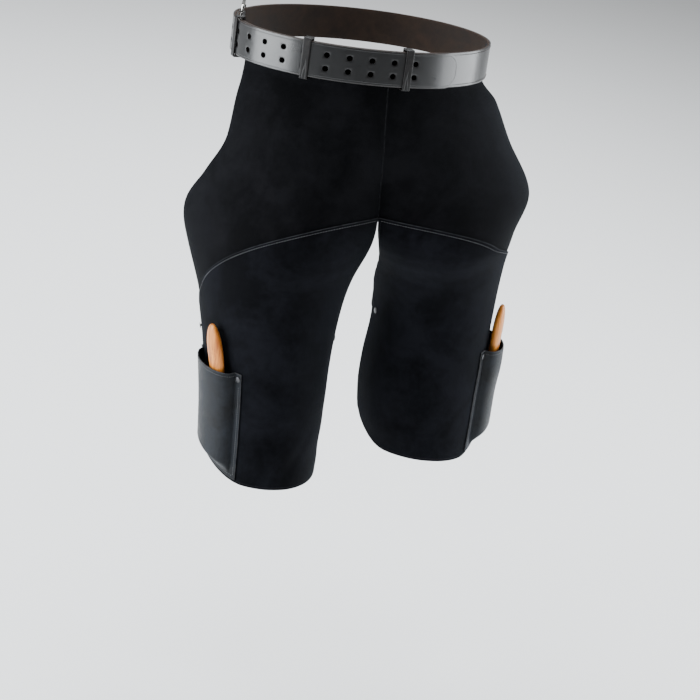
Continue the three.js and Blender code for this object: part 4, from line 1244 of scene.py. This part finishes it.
    def rivet(self, frame: Matrix, inside: float, outside: float) -> bmesh.types.BMesh:
        """Makes a domed rivet through the leather, between two depths along its frame."""
        dome = [
            (self.rivet_head * math.cos(a), outside + 0.3 + 0.9 * math.sin(a))
            for a in (0, 0.25, 0.5, 0.75, 1.0, 1.25, 1.5, math.pi / 2)
        ]
        dome[-1] = (0, dome[-1][1])
        profile = [
            (0, inside - 1), (3.9, inside - 1), (4.4, inside - 0.8), (4.5, inside - 0.4), (4.4, inside),
            (1.8, inside), (1.8, outside), (4.3, outside), *dome,
        ]
        return spun(profile, frame)

    def make(self, shop: Workshop, palette: Palette) -> None:
        """Builds the leg's leather, its stitches and the pocket's rivets."""
        tag = self.tag
        panel = shop.finish(
            self.panel(), f"panel_{tag}", palette.suede, nodes=[f"front_panel_{tag}"]
        )
        patch = shop.finish(
            self.patch(), f"patch_{tag}", palette.patch, nodes=[f"leg_patch_{tag}"]
        )
        pocket = shop.finish(
            self.pocket(),
            f"pocket_{tag}",
            palette.pocket,
            nodes=[f"knife_pocket_{tag}"],
        )
        arch, edges = self.patch_stitches()
        seam = shop.finish(arch, f"arch_stitches_{tag}", palette.thread)
        border = shop.finish(edges, f"edge_stitches_{tag}", palette.dark_thread)
        pocket_seam = shop.finish(self.pocket_stitches(), f"pocket_stitches_{tag}", palette.thread)
        for across, name in ((self.pocket_margin / 2, "front"), (1 - self.pocket_margin / 2, "rear")):
            leg = self.leg
            angle = math.radians(mix(leg.pocket_front, leg.pocket_rear, across))
            frame = leg.frame(angle, self.pocket_rim(across) - self.rivet_in)
            node = f"pocket_rivet_{name}_{tag}"
            body = self.rivet(frame, -1.2, POCKET_OFF + HIDE_POCKET + LAYER_GAP)
            shop.finish(body, f"{node}_dome", palette.dark_steel, nodes=[node])
        seams = {"patch": [seam, border], "pocket": [pocket_seam]}
        self.declare(panel, patch, pocket, seams)

    @staticmethod
    def declare(
        panel: bpy.types.Object,
        patch: bpy.types.Object,
        pocket: bpy.types.Object,
        seams: dict[str, list[bpy.types.Object]],
    ) -> None:
        """Takes the leg's pieces and their stitches, and does nothing with them. The flats are round
        envelopes in metres, and are not cut sizes: the panel's is about 40 mm wider than the leather.

        Args:
            panel: the leg panel; not used.
            patch: the layer over the thigh; not used.
            pocket: the knife pocket; not used.
            seams: the stitches that the patch and the pocket carry; not used.
        """


# ---- Webbing and tape ---------------------------------------------------------------------------


@dataclass
class SeamTape:
    """The leather tape behind the centre seam, from the belt to the crotch."""

    share: float = 0.05
    thickness: float = 1.2
    off: float = -0.96
    top: float = PANEL_TOP - 3
    foot: float = 16 - CROTCH_DEPTH
    half_width: float = 15.0

    def tape(self) -> bmesh.types.BMesh:
        """Makes the tape, from one side of the seam to the other."""

        def place(t: float, v: float) -> Vector:
            leg = RIGHT_LEG if t < 0.5 else LEFT_LEG
            z = mix(self.top, self.foot, v)
            point = leg.laid(self.share * abs(2 * t - 1), z, self.off)
            if abs(t - 0.5) < 0.01:
                point.x = leg.seam_at(z)
            return point

        bm = grid(8, 70, place, (2 * self.half_width * MM, (self.top - self.foot) * MM))
        face_out(bm, Vector((0, 0, -100)))
        thicken(bm, self.thickness, 0.35)
        return bm

    def make(self, shop: Workshop, palette: Palette) -> None:
        """Builds the tape."""
        piece = shop.finish(
            self.tape(), "seam_tape", palette.pocket, nodes=["centre_seam_tape"]
        )


@dataclass
class LegStrap:
    """The two webbing ends behind one thigh, each riveted to the leather and turned round a bar."""

    leather: LegLeather
    width: float = 25.0
    thickness: float = 1.6
    line: float = -4.16
    overlap: float = 13.0
    bar_at: float = 18.0
    bar_room: float = 3.1
    turn_back: float = 14.0
    rivet_inside: float = -6.08
    rivet_over: float = 1.75

    @property
    def height(self) -> float:
        """The height of the strap's middle."""
        return self.leather.strap_above_pocket - self.leather.leg.pocket_top

    def at(self, degrees: float, off: float) -> Vector:
        """Returns a level point round the thigh."""
        return self.leather.leg.point(math.radians(degrees), self.height, off)

    def run(self, start: float, end: float) -> list[Vector]:
        """Returns the webbing's middle line: round the thigh, round the bar, and back over itself."""
        leg = self.leather.leg
        line = [self.at(mix(start, end, i / 48), self.line) for i in range(49)]
        middle = self.at(end, self.line + self.bar_room)
        arm, toward = line[-1] - middle, math.copysign(1, start - end)
        for i in range(1, 17):
            line.append(middle + Matrix.Rotation(leg.sign * toward * math.pi * i / 16, 3, "Z") @ arm)
        for i in range(1, 11):
            share = i / 10
            off = mix(2 * self.bar_room, self.thickness + LAYER_GAP, smooth(share / 0.6))
            line.append(self.at(end + toward * self.turn_back * share, self.line + off))
        return line

    def webbing(self, start: float, end: float) -> bmesh.types.BMesh:
        """Makes one length of webbing."""
        line = self.run(start, end)
        last = len(line) - 1
        lengths = [0.0]
        for a, b in zip(line, line[1:]):
            lengths.append(lengths[-1] + (b - a).length)

        def place(u: float, v: float) -> Vector:
            i = round(v * last)
            ahead = (line[min(last, i + 1)] - line[max(0, i - 1)]).normalized()
            out = Vector((ahead.y, -ahead.x, 0)) * self.thickness / 2
            return line[i] + out + Vector((0, 0, (u - 0.5) * self.width))

        bm = grid(10, last, place, (self.width * MM, lengths[-1] * MM))
        cut = bm.loops.layers.uv["cut"]
        for face in bm.faces:
            for loop in face.loops:
                across, down = loop[cut].uv
                loop[cut].uv = (across, lengths[round(down / (lengths[-1] * MM) * last)] * MM)
        bm.normal_update()
        thicken(bm, self.thickness, 0.5)
        return bm

    def tacks(self, end: float, toward: float) -> bmesh.types.BMesh:
        """Makes the sewn rows that hold the turned-back end."""
        bm = bmesh.new()
        off = self.line + self.thickness * 1.5 + LAYER_GAP

        def row(share: float) -> Path:
            degrees = end + toward * self.turn_back * share

            def path(t: float) -> tuple[Vector, Vector]:
                point = self.at(degrees, off)
                out = self.at(degrees, off + 1) - point
                point.z += (t - 0.5) * (self.width - 4)
                return point, out

            return path

        for share in (0.72, 0.8, 0.9):
            lay_stitches(bm, row(share), 2.4, 1.9, 0.6)
        return bm

    def make(self, shop: Workshop, palette: Palette) -> None:
        """Builds both webbing ends, their stitches and their rivets."""
        leg, tag = self.leather.leg, self.leather.tag
        edge = along(leg.outer_edge, self.height)
        inner = leg.inner_edge + self.overlap
        ends = {
            "outer": (edge - self.overlap, 180 - self.bar_at, edge - self.overlap / 2 - 1),
            "inner": (360 + inner, 180 + self.bar_at, leg.inner_edge + self.overlap / 2 + 1),
        }
        for end, (start, stop, rivet_at) in ends.items():
            node = f"leg_strap_{end}_{tag}"
            strap = shop.finish(
                self.webbing(start, stop),
                f"webbing_{end}_{tag}",
                palette.webbing,
                nodes=[node],
            )
            tacks = shop.finish(
                self.tacks(stop, math.copysign(1, start - stop)),
                f"webbing_stitches_{end}_{tag}",
                palette.dark_thread,
            )
            line = self.run(start, stop)
            length = sum((b - a).length for a, b in zip(line, line[1:]))
            angle = math.radians(rivet_at)
            covered = leg.arch_height(clamp(leg.share(angle, self.height))) > self.height + self.width / 2
            outside = (PATCH_OFF + HIDE_PATCH if covered else HIDE_PANEL) + self.rivet_over
            rivet = f"strap_rivet_{end}_{tag}"
            dome = self.leather.rivet(leg.frame(angle, self.height), self.rivet_inside, outside)
            shop.finish(dome, f"{rivet}_dome", palette.dark_steel, nodes=[rivet])


# ---- Knives -------------------------------------------------------------------------------------


@dataclass
class Knife:
    """One hoof knife's wooden handle, as it stands in its pocket."""

    leg: Leg
    length: float = 114.0
    width: float = 30.0
    thickness: float = 15.0
    shown: float = 69.0
    seat: float = -0.3

    def section(self, t: float) -> tuple[float, float, float]:
        """Returns the handle's lean, half width and half thickness at a share of its length."""
        swell = 0.74 + 0.26 * smooth(t / 0.55)
        close = math.sqrt(max(0.0, 1 - (max(0.0, t - 0.62) / 0.38) ** 2.2))
        return (
            3.5 * smooth((t - 0.35) / 0.65),
            self.width / 2 * swell * max(0.02, close),
            self.half_depth(t) * max(0.02, close**0.8),
        )

    def half_depth(self, t: float) -> float:
        """Returns half the handle's thickness at a share of its length, before its end closes."""
        return self.thickness / 2 * (0.8 + 0.2 * smooth(t / 0.4))

    def frame(self) -> Matrix:
        """Returns the handle's frame, with Z along it and Y out of the pocket."""
        leg = self.leg
        angle, foot = math.radians(leg.knife_angle), self.shown - leg.pocket_top - self.length
        off = POCKET_OFF + self.half_depth(0) + self.seat
        base = leg.point(angle, foot, off)
        out = (leg.point(angle, foot, off + 10) - base).normalized()
        level = Vector((-out.y, out.x, 0)) * leg.sign
        tilt, lean = math.tan(math.radians(leg.knife_tilt)), math.tan(math.radians(leg.knife_lean))
        up = (Vector((0, 0, 1)) + out * tilt + level * lean).normalized()
        across = out.cross(up).normalized()
        return basis(across, up.cross(across), up, base)

    def handle(self) -> bmesh.types.BMesh:
        """Makes the handle."""
        bm = bmesh.new()
        rings = []
        steps = [0.0, 0.01, *(0.03 + 0.59 * i / 16 for i in range(17))]
        steps += [0.62 + 0.38 * math.sin(math.pi / 2 * i / 14) for i in range(1, 15)]
        for t in steps:
            lean, across, deep = self.section(t)
            trim = 0.9 if t == 0 else 1.0
            made = bmesh.ops.create_circle(bm, cap_ends=False, radius=1, segments=40)["verts"]
            for vert in made:
                vert.co = (lean + vert.co.x * across * trim, vert.co.y * deep * trim, self.length * t)
            rings.append(made)
        for low, high in zip(rings, rings[1:]):
            edges = [
                e
                for ring in (low, high)
                for e in {e for v in ring for e in v.link_edges if e.other_vert(v) in ring}
            ]
            bmesh.ops.bridge_loops(bm, edges=list(dict.fromkeys(edges)))
        bmesh.ops.holes_fill(bm, edges=[e for e in bm.edges if len(e.link_faces) == 1], sides=0)
        bmesh.ops.recalc_face_normals(bm, faces=bm.faces[:])
        bmesh.ops.transform(bm, matrix=self.frame(), verts=bm.verts[:])
        return bm

    def make(self, shop: Workshop, palette: Palette) -> None:
        """Builds the handle."""
        tag = self.leg.side.value
        shop.finish(
            self.handle(),
            f"handle_{tag}",
            palette.wood,
            body=f"knife_{tag}",
            nodes=[f"knife_handle_{tag}"],
        )


# ---- Dressing the carried-over nodes ------------------------------------------------------------


def dress(palette: Palette) -> None:
    """Gives every CAD node that stays its finish."""
    finishes = {
        "buckle_": palette.nickel,
        "belt_rivet": palette.dark_steel,
        "strap_rivet": palette.dark_steel,
        "pocket_rivet": palette.dark_steel,
        "knife_blade": palette.blade,
        "knife_pin": palette.brass,
        "knife_handle": palette.wood,
        "leg_strap": palette.webbing,
        "strap_buckle": palette.plastic,
        "centre_seam": palette.pocket,
        "belt_outer": palette.belt,
        "belt_lining": palette.lining,
        "keeper": palette.keeper,
        "front_panel": palette.suede,
        "leg_patch": palette.patch,
        "knife_pocket": palette.pocket,
    }
    for name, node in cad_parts.items():
        material = next(m for prefix, m in finishes.items() if name.startswith(prefix))
        node.data.materials.clear()
        node.data.materials.append(material)


# ---- Studio -------------------------------------------------------------------------------------


@dataclass(frozen=True)
class Studio:
    """The camera, the floor and the soft lights."""

    azimuth: float = -17.0
    elevation: float = 11.0
    distance: float = 2.8
    turn_right: float = 0.854
    turn_up: float = -8.888
    roll: float = 8.024
    lens: float = 100.15
    floor: float = -0.98
    floor_radius: float = 30.0

    def camera(self) -> None:
        """Makes the camera, which tilts as the wearer's hips do."""
        a, e = math.radians(self.azimuth), math.radians(self.elevation)
        place = Vector((math.sin(a) * math.cos(e), -math.cos(a) * math.cos(e), math.sin(e))) * self.distance
        ahead = -place.normalized()
        right = ahead.cross(Vector((0, 0, 1))).normalized()
        up = right.cross(ahead)
        aside, above = (math.tan(math.radians(turn)) for turn in (self.turn_right, self.turn_up))
        ahead = (ahead + right * aside + up * above).normalized()
        right = ahead.cross(Vector((0, 0, 1))).normalized()
        up = right.cross(ahead)
        c, s = math.cos(math.radians(self.roll)), math.sin(math.radians(self.roll))
        camera = bpy.data.objects.new("camera", bpy.data.cameras.new("camera"))
        camera.matrix_world = basis(right * c + up * s, up * c - right * s, -ahead, place)
        camera.data.lens = self.lens
        camera.data.sensor_width = 36
        camera.data.clip_end = 50
        bpy.context.scene.collection.objects.link(camera)
        bpy.context.scene.camera = camera

    def ground(self) -> None:
        """Makes the pale floor."""
        bm = bmesh.new()
        bmesh.ops.create_circle(bm, cap_ends=True, radius=self.floor_radius, segments=96)
        bmesh.ops.translate(bm, vec=(0, 0, self.floor), verts=bm.verts[:])
        mesh = bpy.data.meshes.new("floor")
        bm.to_mesh(mesh)
        bm.free()
        floor = bpy.data.objects.new("floor", mesh)
        bpy.context.scene.collection.objects.link(floor)
        material = bpy.data.materials.new("pale_floor")
        material.use_nodes = True
        shader = material.node_tree.nodes["Principled BSDF"]
        shader.inputs["Base Color"].default_value = (0.93, 0.93, 0.93, 1)
        shader.inputs["Roughness"].default_value = 0.9
        mesh.materials.append(material)

    @staticmethod
    def light(
        name: str,
        place: tuple[float, float, float],
        aim: tuple[float, float, float],
        size: float,
        power: float,
    ) -> None:
        """Adds one soft square light."""
        lamp = bpy.data.lights.new(name, "AREA")
        lamp.shape = "SQUARE"
        lamp.size, lamp.energy = size, power
        lamp.color = (0.93, 0.97, 1.0)
        holder = bpy.data.objects.new(name, lamp)
        holder.location = place
        holder.rotation_euler = (Vector(aim) - Vector(place)).to_track_quat("-Z", "Y").to_euler()
        bpy.context.scene.collection.objects.link(holder)

    def make(self) -> None:
        """Sets up the whole studio."""
        self.camera()
        self.ground()
        self.light("left_box", (-2.59, -0.25, 0.1), (0, 0, -0.1), 2.2, 150)
        self.light("right_box", (2.72, -0.5, 0.1), (0, 0, -0.1), 2.4, 130)
        self.light("top_box", (0, -0.2, 2.6), (0, 0, -0.3), 2.2, 75)
        self.light("back_box", (0.0, 2.2, 3.2), (0, 3.4, -1), 3.0, 320)
        world = bpy.data.worlds.new("studio")
        world.use_nodes = True
        world.node_tree.nodes["Background"].inputs["Color"].default_value = (1, 1, 1, 1)
        world.node_tree.nodes["Background"].inputs["Strength"].default_value = 0.2
        bpy.context.scene.world = world


def main() -> None:
    """Builds the studio and the apron."""
    logging.basicConfig(level=logging.INFO, format="%(name)s %(message)s", stream=sys.stdout)
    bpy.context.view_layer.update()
    Studio().make()
    palette = Palette()
    shop = Workshop()
    dress(palette)
    Belt(Waist()).make(shop, palette)
    SeamTape().make(shop, palette)
    for leg in (RIGHT_LEG, LEFT_LEG):
        leather = LegLeather(leg)
        leather.make(shop, palette)
        LegStrap(leather).make(shop, palette)
        Knife(leg).make(shop, palette)
    LOG.info("%d pieces made", len(shop.made))


if __name__ == "__main__":
    main()
